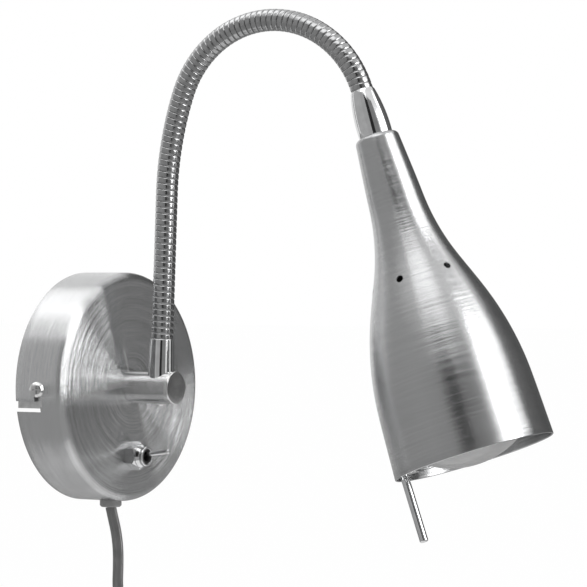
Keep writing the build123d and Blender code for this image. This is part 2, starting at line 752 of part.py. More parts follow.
entry_points = [
    (0, -gland_depth, gland_low), (0, -gland_depth, -46), (7.5, -11.8, -36.5), (12.4, -8.4, -24), (13.6, -7.4, -9),
    (9.6, -6.9, 4), (block_wide / 4, -block_depth, block_low - 7.5), (block_wide / 4, -block_depth, block_low),
]
entry_lead, entry_length = cord_tube(entry_points, lead_dia, "entry_lead")
save(entry_lead, "entry_lead")

# ---- Cord outside ---------------------------------------------------------------------------
coil_layers = 4
coil_front = coil_back + (coil_layers - 1) * layer_pitch
spiral_steps = [0, 1, 2, 3, 3, 2, 1, 0]     # half pitches in from the outer turn: two layers, in and out


def coil_crossing(k):
    """Where the cord crosses the coil's middle height after k half turns: side, radius and layer."""
    steps = spiral_steps[k % len(spiral_steps)]
    layer = k // 4
    radius = coil_radius - steps * turn_pitch / 2
    side = 1 if k % 2 == 0 else -1
    depth = coil_front - layer * layer_pitch
    return Vector(coil_centre_x + side * radius, -depth, coil_centre_z)


coil_start = coil_crossing(0) + Vector(0, 0, cord_dia)
coil_end = coil_crossing(coil_half_turns) - Vector(0, 0, cord_dia)
coil_edges = [Line(coil_start, coil_crossing(0))]
for k in range(coil_half_turns):
    here, there = coil_crossing(k), coil_crossing(k + 1)
    heading = Vector(0, 0, -1 if k % 2 == 0 else 1)
    middle = (here + there) * 0.5 + heading * ((there - here).length / 2)
    coil_edges.append(TangentArc(here, middle, tangent=heading))
    coil_edges.append(TangentArc(there, middle, tangent=heading))
coil_edges.append(Line(coil_crossing(coil_half_turns), coil_end))
coil_path = Wire([edge.edge() for edge in coil_edges])
coil_section = Plane(origin=coil_start, x_dir=(1, 0, 0), z_dir=(0, 0, -1)) * RegularPolygon(
    cord_dia / 2, cord_sides)
cord_coil = sweep(coil_section, path=coil_path)
coil_ideal = coil_section.area * coil_path.length
print(f"cord_coil: {coil_path.length:.0f} mm long, volume {cord_coil.volume / coil_ideal:.4f} of the ideal")
save(cord_coil, "cord_coil")

stations = int(coil_path.length / 3)
trail = [coil_path @ (i / stations) for i in range(stations + 1)]
skip = int(4 * cord_dia / 3)
least = min((trail[i] - trail[j]).length for i in range(len(trail)) for j in range(i + skip, len(trail)))
print(f"cord_coil: least gap to itself {least - cord_dia:.2f} mm")

drop_points = [
    (0, -gland_depth, gland_low), (0, -gland_depth, -66), (0.7, -16.1, -75.5), (0.9, -16.4, -86), (0.9, -16.0, -96.5),
    (3.2, -17.6, -106.5), (7.2, -20.2, -115.5), (10.6, -22.0, -124.5), (coil_start.X, coil_start.Y, -134),
    tuple(coil_start),
]
cord_drop, drop_length = cord_tube(drop_points, cord_dia, "cord_drop")
save(cord_drop, "cord_drop")

tail_points = [
    tuple(coil_end), (coil_end.X, coil_end.Y, -162.5), (8.4, -5.3, -172), (8.7, -7.2, -181.5), (8.7, -8.0, -190),
    (8.7, -8.0, -198),
]
cord_tail, tail_run = cord_tube(tail_points, cord_dia, "cord_tail")
save(cord_tail, "cord_tail")
print(f"cord: {drop_length + coil_path.length + tail_run:.0f} mm from gland to plug")

bundle_in = coil_radius - 3 * turn_pitch / 2 - cord_dia / 2 - tie_slack
bundle_out = coil_radius + cord_dia / 2 + tie_slack
bundle_deep = (coil_layers - 1) * layer_pitch + cord_dia + 2 * tie_slack
hole = Box(bundle_out - bundle_in, bundle_deep, tie_width + 2)
band = Box(bundle_out - bundle_in + 2 * tie_thick, bundle_deep + 2 * tie_thick, tie_width)
band = chamfer(band.edges().filter_by(Axis.Z), tie_thick)
coil_tie = band - hole
tie_centre = ((bundle_in + bundle_out) / 2, (coil_back + coil_front) / 2)
save(Pos(coil_centre_x - tie_centre[0], -tie_centre[1], coil_centre_z) * coil_tie, "coil_tie")

# ---- Plug ------------------------------------------------------------------------------------
plug_frame = Plane(origin=tail_points[-1], x_dir=(1, 0, 0), z_dir=(0, 0, -1))
shoulder = loft([Circle(plug_neck_dia / 2), Pos(0, 0, plug_neck_long) * Circle(plug_thick / 2 - 0.4)], ruled=True)
outline = Plane.XZ * make_face(Polyline(
    (-plug_shoulder / 2, plug_neck_long), (plug_shoulder / 2, plug_neck_long), (plug_wide / 2, plug_neck_long + plug_flare),
    (plug_wide / 2, plug_neck_long + plug_long), (-plug_wide / 2, plug_neck_long + plug_long),
    (-plug_wide / 2, plug_neck_long + plug_flare), close=True))
plug_slab = extrude(outline, plug_thick / 2, both=True)
plug_slab = chamfer(plug_slab.edges().filter_by(Axis.Y), 1.2)
plug_body = plug_slab + shoulder
save(at(plug_frame, plug_body), "plug_body")
plug_face = plug_neck_long + plug_long
pins = []
for side in (-1, 1):
    pin = loft([
        Plane(origin=(side * pin_spacing_root / 2, 0, plug_face)) * Circle(pin_dia / 2),
        Plane(origin=(side * pin_spacing_tip / 2, 0, plug_face + pin_length - pin_round)) * Circle(pin_dia / 2),
        Plane(origin=(side * pin_spacing_tip / 2, 0, plug_face + pin_length)) * Circle(pin_dia / 2 - pin_round),
    ], ruled=True)
    pins.append(at(plug_frame, pin))
save(Compound(pins), "plug_pins")
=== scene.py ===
import bmesh
import bpy
from math import atan2, cos, pi, radians, sin, sqrt, tan
from mathutils import Matrix, Vector


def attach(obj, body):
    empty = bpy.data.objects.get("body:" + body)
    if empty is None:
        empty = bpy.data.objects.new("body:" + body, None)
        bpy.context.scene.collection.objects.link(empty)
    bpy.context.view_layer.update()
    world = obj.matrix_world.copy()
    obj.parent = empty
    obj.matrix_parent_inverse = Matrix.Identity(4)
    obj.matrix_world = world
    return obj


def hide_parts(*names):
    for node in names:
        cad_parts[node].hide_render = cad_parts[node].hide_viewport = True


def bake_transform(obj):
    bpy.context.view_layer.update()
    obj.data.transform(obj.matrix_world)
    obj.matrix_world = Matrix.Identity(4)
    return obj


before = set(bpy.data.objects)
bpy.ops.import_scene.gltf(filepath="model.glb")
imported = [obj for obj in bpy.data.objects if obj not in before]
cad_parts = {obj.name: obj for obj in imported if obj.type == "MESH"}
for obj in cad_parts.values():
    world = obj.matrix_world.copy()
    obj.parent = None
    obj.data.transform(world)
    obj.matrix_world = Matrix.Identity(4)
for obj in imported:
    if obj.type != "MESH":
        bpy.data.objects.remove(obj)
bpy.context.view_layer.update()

# Bedside wall reading lamp. Sizes are in millimetres, Blender's own are in metres.
mm = 0.001
scene = bpy.context.scene
scene.view_settings.view_transform = "Standard"
print("frame loaded:", len(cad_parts), "nodes")


def linked(name, data):
    item = bpy.data.objects.new(name, data)
    scene.collection.objects.link(item)
    return item


# Camera: the photograph's place, about 1.7 m away, nearly level
photo = {"place": (-1.3471, -1.0353, 0.0587), "tilt": 89.53, "turn": -55.85, "lens": 214.3}
camera = linked("camera", bpy.data.cameras.new("camera"))
camera.location = photo["place"]
camera.rotation_euler = (radians(photo["tilt"]), 0, radians(photo["turn"]))
camera.data.lens, camera.data.sensor_width = photo["lens"], 36
camera.data.clip_start, camera.data.clip_end = 0.05, 60
scene.camera = camera


# Node trees, for finishes and for Geometry Nodes alike
class Flow:  # one output socket, with arithmetic
    def __init__(self, tree, socket):
        self.tree, self.socket = tree, socket

    def out(self, name):
        return Flow(self.tree, self.socket.node.outputs[name])

    def maths(self, operation, first, second=0.0):
        return self.tree.add("ShaderNodeMath", {"operation": operation}, {0: first, 1: second})

    def __add__(self, other): return self.maths("ADD", self, other)
    def __sub__(self, other): return self.maths("SUBTRACT", self, other)
    def __mul__(self, other): return self.maths("MULTIPLY", self, other)
    def __truediv__(self, other): return self.maths("DIVIDE", self, other)
    def __pow__(self, other): return self.maths("POWER", self, other)
    def __radd__(self, other): return self.maths("ADD", other, self)
    def __rsub__(self, other): return self.maths("SUBTRACT", other, self)
    def __rmul__(self, other): return self.maths("MULTIPLY", other, self)
    def __abs__(self): return self.maths("ABSOLUTE", self)
    def fraction(self): return self.maths("FRACT", self)


class Tree:
    def __init__(self, nodeTree):
        self.inner = nodeTree

    def add(self, kind, settings=None, sockets=None):
        node = self.inner.nodes.new(kind)
        for name, value in (settings or {}).items():
            setattr(node, name, value)
        for key, value in (sockets or {}).items():
            if isinstance(value, Flow):
                self.inner.links.new(value.socket, node.inputs[key])
            else:
                node.inputs[key].default_value = value
        return Flow(self, node.outputs[0]) if node.outputs else node

    def vector(self, operation, first, second=(0, 0, 0)):
        key = "Scale" if operation == "SCALE" else 1
        return self.add("ShaderNodeVectorMath", {"operation": operation}, {0: first, key: second})

    def combined(self, x, y, z):
        return self.add("ShaderNodeCombineXYZ", {}, {0: x, 1: y, 2: z})


class Finish(Tree):  # a material, whose textures work in millimetres in a frame of the piece
    def __init__(self, name, place=None):
        self.material = bpy.data.materials.new(name)
        self.material.use_nodes = True
        super().__init__(self.material.node_tree)
        self.inner.nodes.clear()
        place = place or Matrix.Identity(4)
        self.here = self.add("ShaderNodeMapping", {"vector_type": "TEXTURE"}, {
            "Vector": self.add("ShaderNodeTexCoord").out("Object"),
            "Location": place.to_translation(), "Rotation": place.to_euler(), "Scale": (mm, mm, mm)})

    def axes(self):
        parts = self.add("ShaderNodeSeparateXYZ", {}, {0: self.here})
        return parts.out("X"), parts.out("Y"), parts.out("Z")

    def noise(self, scale, detail=2.0, vector=None, roughness=0.5):
        return self.add("ShaderNodeTexNoise", {}, {
            "Vector": vector or self.here, "Scale": scale, "Detail": detail, "Roughness": roughness})

    def blend(self, share, low, high):
        return self.add("ShaderNodeMix", {"data_type": "RGBA"}, {0: share, 6: low, 7: high}).out("Result")

    def span(self, value, low, high, newLow=0.0, newHigh=1.0):
        return self.add("ShaderNodeMapRange", {"clamp": True}, {0: value, 1: low, 2: high, 3: newLow, 4: newHigh})

    def bump(self, height, depth, strength=1.0):
        return self.add("ShaderNodeBump", {}, {"Height": height, "Distance": depth * mm, "Strength": strength})

    def shown(self, shader):
        self.add("ShaderNodeOutputMaterial", {}, {"Surface": shader})
        return self.material

    def done(self, **sockets):
        named = {key.replace("_", " "): value for key, value in sockets.items()}
        return self.shown(self.add("ShaderNodeBsdfPrincipled", {}, named))


def grey(value, warm=0.0):
    return (value * (1 + warm), value, value * (1 - warm), 1.0)


def brushed(name, place, look, direction=1):
    # grooves run round the place's Z axis, from a brush held against the turning piece
    f = Finish(name, place)
    x, y, z = f.axes()
    radius = (x * x + y * y + 0.0001) ** 0.5
    across = radius + z * direction
    around = (x / radius * look["strokes"], y / radius * look["strokes"])

    def grooves(scale, detail):
        return f.noise(1.0, detail, f.combined(across * scale, *around), 0.6)

    fine, coarse, broad = grooves(look["fine"], 2.0), grooves(look["coarse"], 3.0), f.noise(0.03, 2.0)
    tone = f.span(coarse * 0.5 + fine * 0.2 + broad * 0.3, 0.3, 0.7)
    rough = look["rough"] + 0.05 * (coarse - 0.5) + 0.05 * (broad - 0.5)
    relief = f.bump(coarse, look["coarseDepth"])
    # the finest grooves only tilt the surface across themselves, which spreads a reflection one way
    spoke = f.vector("SUBTRACT", f.add("ShaderNodeTexCoord").out("Object"), place.to_translation())
    turning = {"vector_type": "VECTOR", "convert_from": "OBJECT", "convert_to": "WORLD"}
    ring = f.add("ShaderNodeVectorTransform", turning, {0: f.vector("CROSS_PRODUCT", place.col[2].to_3d(), spoke)})
    sideways = f.vector("CROSS_PRODUCT", f.vector("NORMALIZE", ring), relief)
    lean = (grooves(look["fine"], 0.0) - 0.5) * look["sweep"]
    leaning = f.vector("ADD", relief, f.vector("SCALE", sideways, lean))
    return f.done(Base_Color=f.blend(tone, look["dark"], look["light"]), Metallic=1.0, Roughness=rough,
                  Normal=f.vector("NORMALIZE", leaning))


def plated(name, look, place=None):
    # polished plating with a faint orange peel, hairlines and a little haze
    f = Finish(name, place)
    haze, peel = f.noise(0.25, 3.0), f.noise(1.6, 2.0)
    hair = f.noise(3.0, 1.0, f.vector("MULTIPLY", f.here, (1, 1, 0.06)))
    colour = f.blend(f.span(haze, 0.3, 0.7), look["dark"], look["light"])
    rough = look["rough"] + 0.05 * (haze - 0.5) + 0.04 * f.span(hair, 0.62, 0.72)
    return f.done(Base_Color=colour, Metallic=1.0, Roughness=rough, Normal=f.bump(peel, look["depth"]))


def moulded(name, look, place=None):
    # plastic with a fine spark-eroded grain
    f = Finish(name, place)
    grain, cloud = f.noise(look["grain"], 2.0), f.noise(0.12, 3.0)
    colour = f.blend(f.span(cloud, 0.3, 0.7), look["dark"], look["light"])
    rough = look["rough"] + 0.12 * (grain - 0.5)
    return f.done(Base_Color=colour, Roughness=rough, Normal=f.bump(grain, look["depth"]))


# Places
toRight, toCamera = (0.5613, -0.8276, 0), (-0.8276, -0.5613, 0)  # seen from the photograph's place
neckLine = {"offset": 45.5, "lean": 2.1, "turn": 6.3, "rootHigh": 23.3, "rootOut": 0.2,
            "straight": 69.4, "ease": 48.4, "easeTurn": 17.3, "arch": 124.9, "archTurn": 141.8}
outward = Vector((sin(radians(neckLine["turn"])), -cos(radians(neckLine["turn"])), 0))
upward = Vector((0, 0, 1))
neckLength = neckLine["straight"] + neckLine["ease"] + neckLine["arch"]


def neckState(along):
    out, high, heading = neckLine["rootOut"], neckLine["rootHigh"], radians(neckLine["lean"])
    left = along
    for length, turn in ((neckLine["straight"], 0), (neckLine["ease"], neckLine["easeTurn"]),
                         (neckLine["arch"], neckLine["archTurn"])):
        step = max(0.0, min(left, length))
        if turn:
            radius = length / radians(turn)
            after = heading + step / radius
            out += radius * (cos(heading) - cos(after))
            high += radius * (sin(after) - sin(heading))
            heading = after
        else:
            out, high = out + step * sin(heading), high + step * cos(heading)
        left -= step
    return out + left * sin(heading), high + left * cos(heading), heading


def placeOf(origin, xAxis, zAxis):
    x, z = Vector(xAxis).normalized(), Vector(zAxis).normalized()
    y = z.cross(x)
    place = Matrix((x, y, z)).transposed().to_4x4()
    place.translation = Vector(origin) * mm
    return place


def neckPlace(along):
    out, high, heading = neckState(along)
    origin = Vector((0, -neckLine["offset"], 0)) + outward * out + upward * high
    return placeOf(origin, outward * cos(heading) - upward * sin(heading),
                   outward * sin(heading) + upward * cos(heading))


def roomPlace(x, depth, z, tilt=0):
    return placeOf((x, -depth, z), (1, 0, 0), (0, -cos(radians(tilt)), -sin(radians(tilt))))


cupSizes = {"radius": 55.0, "depth": 27.5, "wall": 1.2, "corner": 4.0, "rise": 1.0, "flat": 10.0,
            "notchWidth": 5.0, "notchDepth": 14.4, "notchDrop": 8.2, "leg": 4.4, "screwDepth": 13.3,
            "lip": 0.35, "postHole": 5.1, "switchHole": 3.6, "glandHole": 4.1, "switchDrop": 33.0, "switchTilt": 1.397}
cordExit = (0, -14.8, -58.2)


def faceDepth(radius):
    edge = cupSizes["radius"] - cupSizes["corner"]
    share = (edge - max(radius, cupSizes["flat"])) / (edge - cupSizes["flat"])
    return cupSizes["depth"] + cupSizes["rise"] * min(1, share)


headPlace = neckPlace(neckLength)
rootPlace = neckPlace(0)
postPlace = roomPlace(0, faceDepth(0), 0)
switchPlace = roomPlace(0, faceDepth(cupSizes["switchDrop"]), -cupSizes["switchDrop"], cupSizes["switchTilt"])


# Mesh helpers
def evaluated(item):
    # the mesh that an object's modifiers or its curve make
    bpy.context.view_layer.update()
    return bpy.data.meshes.new_from_object(item.evaluated_get(bpy.context.evaluated_depsgraph_get()))


def meshFrom(bm, outward=True):
    if outward:
        bmesh.ops.recalc_face_normals(bm, faces=bm.faces)
    mesh = bpy.data.meshes.new("mesh")
    bm.to_mesh(mesh)
    bm.free()
    return mesh


def finished(mesh, name, finish, body, nodes=(), sharp=40, place=None):
    if place is not None:
        mesh.transform(place)
    mesh.name = name
    mesh.shade_smooth()
    mesh.set_sharp_from_angle(angle=radians(sharp))
    if finish is not None:
        mesh.materials.clear()
        mesh.materials.append(finish)
    piece = linked(name, mesh)
    if nodes:
        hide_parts(*nodes)
    if body:
        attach(piece, body)
    return piece


def spread(low, high, count, first=1):
    return [low + (high - low) * k / count for k in range(first, count + 1)]


def rounded(points, steps=6):
    # corners given as (radius, height, rounding) are softened by an arc of that rounding
    soft = []
    for i, point in enumerate(points):
        if len(point) == 2 or not point[2]:
            soft.append(Vector(point[:2]))
            continue
        here = Vector(point[:2])
        before, after = Vector(points[i - 1][:2]) - here, Vector(points[(i + 1) % len(points)][:2]) - here
        half = before.angle(after) / 2
        reach = min(point[2] / tan(half), 0.49 * before.length, 0.49 * after.length)
        size = reach * tan(half)
        middle = here + (before.normalized() + after.normalized()).normalized() * (size / sin(half))
        start, end = here + before.normalized() * reach - middle, here + after.normalized() * reach - middle
        turn = start.angle_signed(end)
        for k in range(steps + 1):
            a = -turn * k / steps
            soft.append(middle + Vector((start.x * cos(a) - start.y * sin(a), start.x * sin(a) + start.y * cos(a))))
    return soft


def tangentArc(start, direction, end, steps=24):
    chord = Vector(end) - Vector(start)
    direction = Vector(direction).normalized()
    half = -direction.angle_signed(chord)
    points = []
    for k in range(1, steps + 1):
        a = half * k / steps
        reach = chord.length * (sin(a) / sin(half) if abs(half) > 1e-9 else k / steps)
        points.append(Vector(start) + reach * Vector((direction.x * cos(a) - direction.y * sin(a),
                                                      direction.x * sin(a) + direction.y * cos(a))))
    return points


def turnedMesh(points, steps=96):
    # a profile of (radius, height) in mm turned about Z; ends on the axis close at a pole
    bm = bmesh.new()
    rings = []
    for radius, high in points:
        angles = [2 * pi * k / steps for k in range(1 if radius < 1e-6 else steps)]
        rings.append([bm.verts.new((radius * mm * cos(a), radius * mm * sin(a), high * mm)) for a in angles])
    loop = len(rings[0]) > 1
    pairs = list(zip(rings, rings[1:])) + ([(rings[-1], rings[0])] if loop else [])
    for low, high in pairs:
        for k in range(steps):
            n = (k + 1) % steps
            corners = [low[k % len(low)], low[n % len(low)], high[n % len(high)], high[k % len(high)]]
            corners = list(dict.fromkeys(corners))  # a triangle at a pole
            if len(corners) > 2:
                bm.faces.new(corners)
    return meshFrom(bm)


def rodMesh(radius, low, high, steps=48):
    return turnedMesh([(0, low), (radius, low), (radius, high), (0, high)], steps)


def boxMesh(low, high, bevel=0.0, segments=3):
    bm = bmesh.new()
    bmesh.ops.create_cube(bm, size=1)
    low, high = Vector(low), Vector(high)
    for v in bm.verts:
        v.co = Vector([(low[i] + high[i]) / 2 + v.co[i] * (high[i] - low[i]) for i in range(3)]) * mm
    if bevel:
        bmesh.ops.bevel(bm, geom=list(bm.edges), offset=bevel * mm, segments=segments, profile=0.6, affect="EDGES")
    return meshFrom(bm)


def prismMesh(outline, low, high, bevel=0.0, segments=3):
    # an outline of (x, y) in mm raised along Z
    bm = bmesh.new()
    floor = [bm.verts.new((x * mm, y * mm, low * mm)) for x, y in outline]
    roof = [bm.verts.new((x * mm, y * mm, high * mm)) for x, y in outline]
    ends = [bm.faces.new(floor[::-1]), bm.faces.new(roof)]
    for k in range(len(outline)):
        n = (k + 1) % len(outline)
        bm.faces.new((floor[k], floor[n], roof[n], roof[k]))
    if bevel:
        edges = {e for face in ends for e in face.edges}
        bmesh.ops.bevel(bm, geom=list(edges), offset=bevel * mm, segments=segments, profile=0.6, affect="EDGES")
    return meshFrom(bm)


def hexagonOutline(flats, turn=0):
    corner = flats / sqrt(3)
    return [(corner * cos(radians(turn + 30 + 60 * k)), corner * sin(radians(turn + 30 + 60 * k))) for k in range(6)]


def carved(mesh, cutters, operation="DIFFERENCE"):
    # one mesh with others cut away from it, or with only what they share
    for cutter in cutters:
        body, tool = linked("body", mesh), linked("tool", cutter)
        cut = body.modifiers.new("cut", "BOOLEAN")
        cut.object, cut.operation, cut.solver = tool, operation, "EXACT"
        mesh = evaluated(body)
        bpy.data.objects.remove(body)
        bpy.data.objects.remove(tool)
    return mesh


def joined(*meshes):
    bm = bmesh.new()
    for mesh in meshes:
        bm.from_mesh(mesh)
    return meshFrom(bm, False)


def placed(mesh, place):
    copy = mesh.copy()
    copy.transform(place)
    return copy


def moved(x=0, y=0, z=0):
    return Matrix.Translation(Vector((x, y, z)) * mm)


def turnedBy(axis, angle):
    return Matrix.Rotation(radians(angle), 4, axis)


# Geometry Nodes helpers
def geometryTree(name, inputs):
    tree = bpy.data.node_groups.new(name, "GeometryNodeTree")
    tree.interface.new_socket("Geometry", in_out="INPUT", socket_type="NodeSocketGeometry")
    for label, kind in inputs.items():
        tree.interface.new_socket(label, in_out="INPUT", socket_type="NodeSocket" + kind)
    tree.interface.new_socket("Geometry", in_out="OUTPUT", socket_type="NodeSocketGeometry")
    graph = Tree(tree)
    entry = graph.add("NodeGroupInput")
    return graph, {item.name: Flow(graph, entry.socket.node.outputs[item.name])
                   for item in tree.interface.items_tree if item.in_out == "INPUT"}


def closeTree(graph, geometry, finish):
    solid = graph.add("GeometryNodeRealizeInstances", {}, {"Geometry": geometry})
    solid = graph.add("GeometryNodeSetMaterial", {}, {"Geometry": solid, "Material": finish})
    graph.add("NodeGroupOutput", {}, {"Geometry": solid})


def grown(mesh, graph, values):
    # the mesh that the tree makes of the given one
    carrier = linked("carrier", mesh)
    modifier = carrier.modifiers.new("nodes", "NODES")
    modifier.node_group = graph.inner
    for item in graph.inner.interface.items_tree:
        if item.in_out == "INPUT" and item.name in values:
            modifier[item.identifier] = values[item.name]
    result = evaluated(carrier)
    carrier.modifiers.clear()
    bpy.data.objects.remove(carrier)
    return result


def pointCloud(points, turns):
    mesh = bpy.data.meshes.new("points")
    mesh.from_pydata([Vector(p) * mm for p in points], [], [])
    attribute = mesh.attributes.new("turn", "FLOAT_VECTOR", "POINT")
    attribute.data.foreach_set("vector", [a for turn in turns for a in turn])
    return mesh


# A part, such as a screw, set at each point and turned as the point says
partTree, partIn = geometryTree("repeatedPart", {"Part": "Object", "Finish": "Material"})
partInfo = partTree.add("GeometryNodeObjectInfo", {}, {"Object": partIn["Part"]})
partTurn = partTree.add("GeometryNodeInputNamedAttribute", {"data_type": "FLOAT_VECTOR"}, {"Name": "turn"})
partSet = partTree.add("GeometryNodeInstanceOnPoints", {}, {
    "Points": partTree.add("GeometryNodeMeshToPoints", {}, {"Mesh": partIn["Geometry"]}),
    "Instance": partInfo.out("Geometry"), "Rotation": partTurn})
closeTree(partTree, partSet, partIn["Finish"])


def repeated(part, points, turns, finish):
    model = linked("model", part)
    result = grown(pointCloud(points, turns), partTree, {"Part": model, "Finish": finish})
    bpy.data.objects.remove(model)
    return result


# Finishes
aluminium = {"dark": grey(0.50, -0.008), "light": grey(0.58, -0.006), "rough": 0.24, "strokes": 0.7,
             "fine": 45.0, "sweep": 0.8, "coarse": 2.2, "coarseDepth": 0.002}
# cupLook, shadeLook and postLook are lighter and darker copies of one brushed aluminium: painted light and shade, and
# the shade's copy is the darkest
cupLook = {"dark": grey(0.53, -0.008), "light": grey(0.61, -0.006), "rough": 0.17, "fine": 70.0, "sweep": 2.2,
           "coarseDepth": 0.0004}
shadeLook = {"dark": grey(0.42, -0.008), "light": grey(0.49, -0.006)}
postLook = {"dark": grey(0.55), "light": grey(0.66), "rough": 0.17, "sweep": 0.25, "coarseDepth": 0.001}
cupFinish = brushed("brushedCup", postPlace, dict(aluminium, **cupLook), -1)
shadeFinish = brushed("brushedShade", headPlace, dict(aluminium, **shadeLook))
postFinish = brushed("brushedPost", postPlace, dict(aluminium, **postLook))
chrome = {"dark": grey(0.62, -0.006), "light": grey(0.72, -0.006), "rough": 0.07, "depth": 0.002}
ferruleFinish = plated("chromeFerrule", chrome, headPlace)
rootFinish = plated("chromeRootFerrule", chrome, rootPlace)
switchChrome = plated("chromeSwitch", dict(chrome, rough=0.10), switchPlace)
rodFinish = plated("chromeRod", dict(chrome, rough=0.14), headPlace)
zincFinish = plated("zincPlate", dict(chrome, dark=grey(0.50), light=grey(0.66), rough=0.30, depth=0.010))
screwFinish = plated("screwSteel", dict(chrome, dark=grey(0.58), light=grey(0.70), rough=0.20, depth=0.006))
brass = dict(chrome, dark=(0.66, 0.50, 0.24, 1), light=(0.78, 0.63, 0.34, 1), rough=0.22)
brassFinish = plated("brassShell", brass)
capFinish = plated("bulbCapMetal", dict(chrome, dark=grey(0.60), light=grey(0.74), rough=0.26, depth=0.006))
blackPlastic = {"dark": grey(0.016), "light": grey(0.026), "rough": 0.42, "grain": 6.0, "depth": 0.006}
holderFinish = moulded("holderBakelite", dict(blackPlastic, dark=grey(0.030), light=grey(0.045)))
switchPlastic = moulded("switchPlastic", blackPlastic)
whitePlastic = {"dark": (0.74, 0.74, 0.69, 1), "light": (0.82, 0.82, 0.78, 1), "rough": 0.45, "grain": 4.0,
                "depth": 0.005}
blockFinish = moulded("blockPolyamide", whitePlastic)
leadFinish = moulded("leadSheath", dict(whitePlastic, rough=0.38))
greyPlastic = {"dark": grey(0.20), "light": grey(0.25), "rough": 0.45, "grain": 5.0, "depth": 0.006}
glandFinish = moulded("glandPlastic", greyPlastic)
plugFinish = moulded("plugPlastic", dict(greyPlastic, dark=grey(0.33), light=grey(0.38), rough=0.48, depth=0.008))
print("finishes made")


# Cup: spun sheet with two bayonet notches in its rim and holes for post, switch and gland
def cupPiece():
    s = cupSizes
    r, w, lip, corner = s["radius"], s["wall"], s["lip"], s["corner"]
    bend, shoulder = r - corner, s["depth"] - corner
    outline = [(0, faceDepth(0)), (s["flat"] - 1, faceDepth(0))]
    outline += [(at, faceDepth(at)) for at in spread(s["flat"] - 1, bend, 14)]
    outline += [(bend + corner * sin(a), shoulder + corner * cos(a)) for a in spread(0, pi / 2, 12)]
    outline += [(r, z) for z in spread(shoulder, lip, 6)]
    outline += [(r - 0.1, 0.1), (r - lip, 0.0), (r - w + lip, 0.0), (r - w + 0.1, 0.1), (r - w, lip)]
    outline += [(r - w, z) for z in spread(lip, shoulder, 6)]
    outline += [(bend + (corner - w) * sin(a), shoulder + (corner - w) * cos(a)) for a in spread(pi / 2, 0, 8)]
    outline += [(s["flat"], faceDepth(0) - w), (0, faceDepth(0) - w)]
    cup = turnedMesh(outline, 192)
    cup.transform(roomPlace(0, 0, 0))
    cutters = []
    for side in (-1, 1):
        x0, x1 = sorted((side * (r - w - 3), side * (r + 3)))
        dropZ = s["notchDrop"] * side
        low, high = sorted((dropZ - s["notchWidth"] / 2, dropZ + s["notchWidth"] / 2))
        entry = boxMesh((x0, -s["notchDepth"], low), (x1, 4, high), 0.25, 2)
        low, high = sorted((0, dropZ))
        across = boxMesh((x0, -s["screwDepth"] - s["leg"] / 2, low), (x1, -s["screwDepth"] + s["leg"] / 2, high))
        end = rodMesh(s["leg"] / 2, x0, x1, 24)
        end.transform(placeOf((0, -s["screwDepth"], 0), (0, 1, 0), (1, 0, 0)))
        cutters += [entry, across, end]
    for place, size in ((postPlace, s["postHole"]), (switchPlace, s["switchHole"])):
        cutters.append(placed(rodMesh(size, -4, 3), place))
    cutters.append(placed(rodMesh(s["glandHole"], -r - 4, -r + 5), moved(0, cordExit[1])))
    return finished(carved(cup, cutters), "cup", cupFinish, "root", ["canopy"], 35)


cupPiece()
print("cup made")


# Screws: pan heads with a cross recess
screwSizes = {"head": 3.7, "high": 2.6, "low": 0.05, "shank": 2.0, "length": 5.0, "arm": 0.55, "reach": 1.9,
              "deep": 1.5, "turned": 25}


def crossHead(s):
    head, high, low, shank, arm, reach = (s[key] for key in ("head", "high", "low", "shank", "arm", "reach"))
    outline = rounded([(0, low - s["length"]), (shank, low - s["length"], 0.3), (shank, low), (head, low, 0.15),
                       (head, low + 0.42 * high, 0.9), (0.60 * head, low + 0.93 * high, 0.9), (0, low + high)], 5)
    arms = [boxMesh((-x, -y, low + high - s["deep"]), (x, y, low + high + 1))
            for x, y in ((reach, arm / 2), (arm / 2, reach))]
    return carved(turnedMesh(outline, 48), arms)


def sideScrews():
    points = [(side * cupSizes["radius"], -cupSizes["screwDepth"], 0) for side in (-1, 1)]
    turns = [(radians(screwSizes["turned"]), side * pi / 2, 0) for side in (-1, 1)]
    mesh = repeated(crossHead(screwSizes), points, turns, screwFinish)
    return finished(mesh, "sideScrews", None, "root", ["side_screws"], 35)


sideScrews()


# Post: a satin stub with a bore across it for the neck's foot
postSizes = {"radius": 7.85, "length": 25.6, "edge": 0.6, "shank": 5.0, "shankLength": 12.5, "bore": 4.6,
             "boreLow": -27.1, "boreHigh": -1, "screwBore": 2.9, "rowLength": 3}
fixingSizes = {"head": 2.8, "foot": -30.72, "shank": 2.0, "top": -25.6, "slot": 0.7}


def postPiece():
    s = postSizes
    r, length, low = s["radius"], s["length"], -s["shankLength"]
    outline = rounded([(0, low), (s["shank"], low, 0.4), (s["shank"], 0), (r, 0, 0.25), (r, length, s["edge"]),
                       (0, length)], 6)
    dense = []
    for a, b in zip(outline, outline[1:]):
        count = max(1, int((b - a).length / s["rowLength"]))
        dense += [a + (b - a) * k / count for k in range(count)]
    post = turnedMesh(dense + [outline[-1]], 128)
    post.transform(postPlace)
    bores = [rodMesh(s["bore"], s["boreLow"], s["boreHigh"]), rodMesh(s["screwBore"], -34, fixingSizes["foot"])]
    post = carved(post, [placed(bore, rootPlace) for bore in bores])
    return finished(post, "post", postFinish, "root", ["arm_post"], 35)


def fixingScrew():
    s = fixingSizes
    head, foot, shank, top = s["head"], s["foot"], s["shank"], s["top"]
    outline = rounded([(0, -32.3), (1.5, -32.25, 0.8), (head, -31.4, 0.5), (head, foot), (shank, foot + 0.02),
                       (shank, top), (0, top)], 5)
    slot = boxMesh((-3, -s["slot"] / 2, -33.5), (3, s["slot"] / 2, -31.7))
    return finished(carved(turnedMesh(outline, 48), [slot]), "neckFixingScrew", screwFinish, "root",
                    ["neck_fixing_screw"], 35, rootPlace)


postPiece()
fixingScrew()


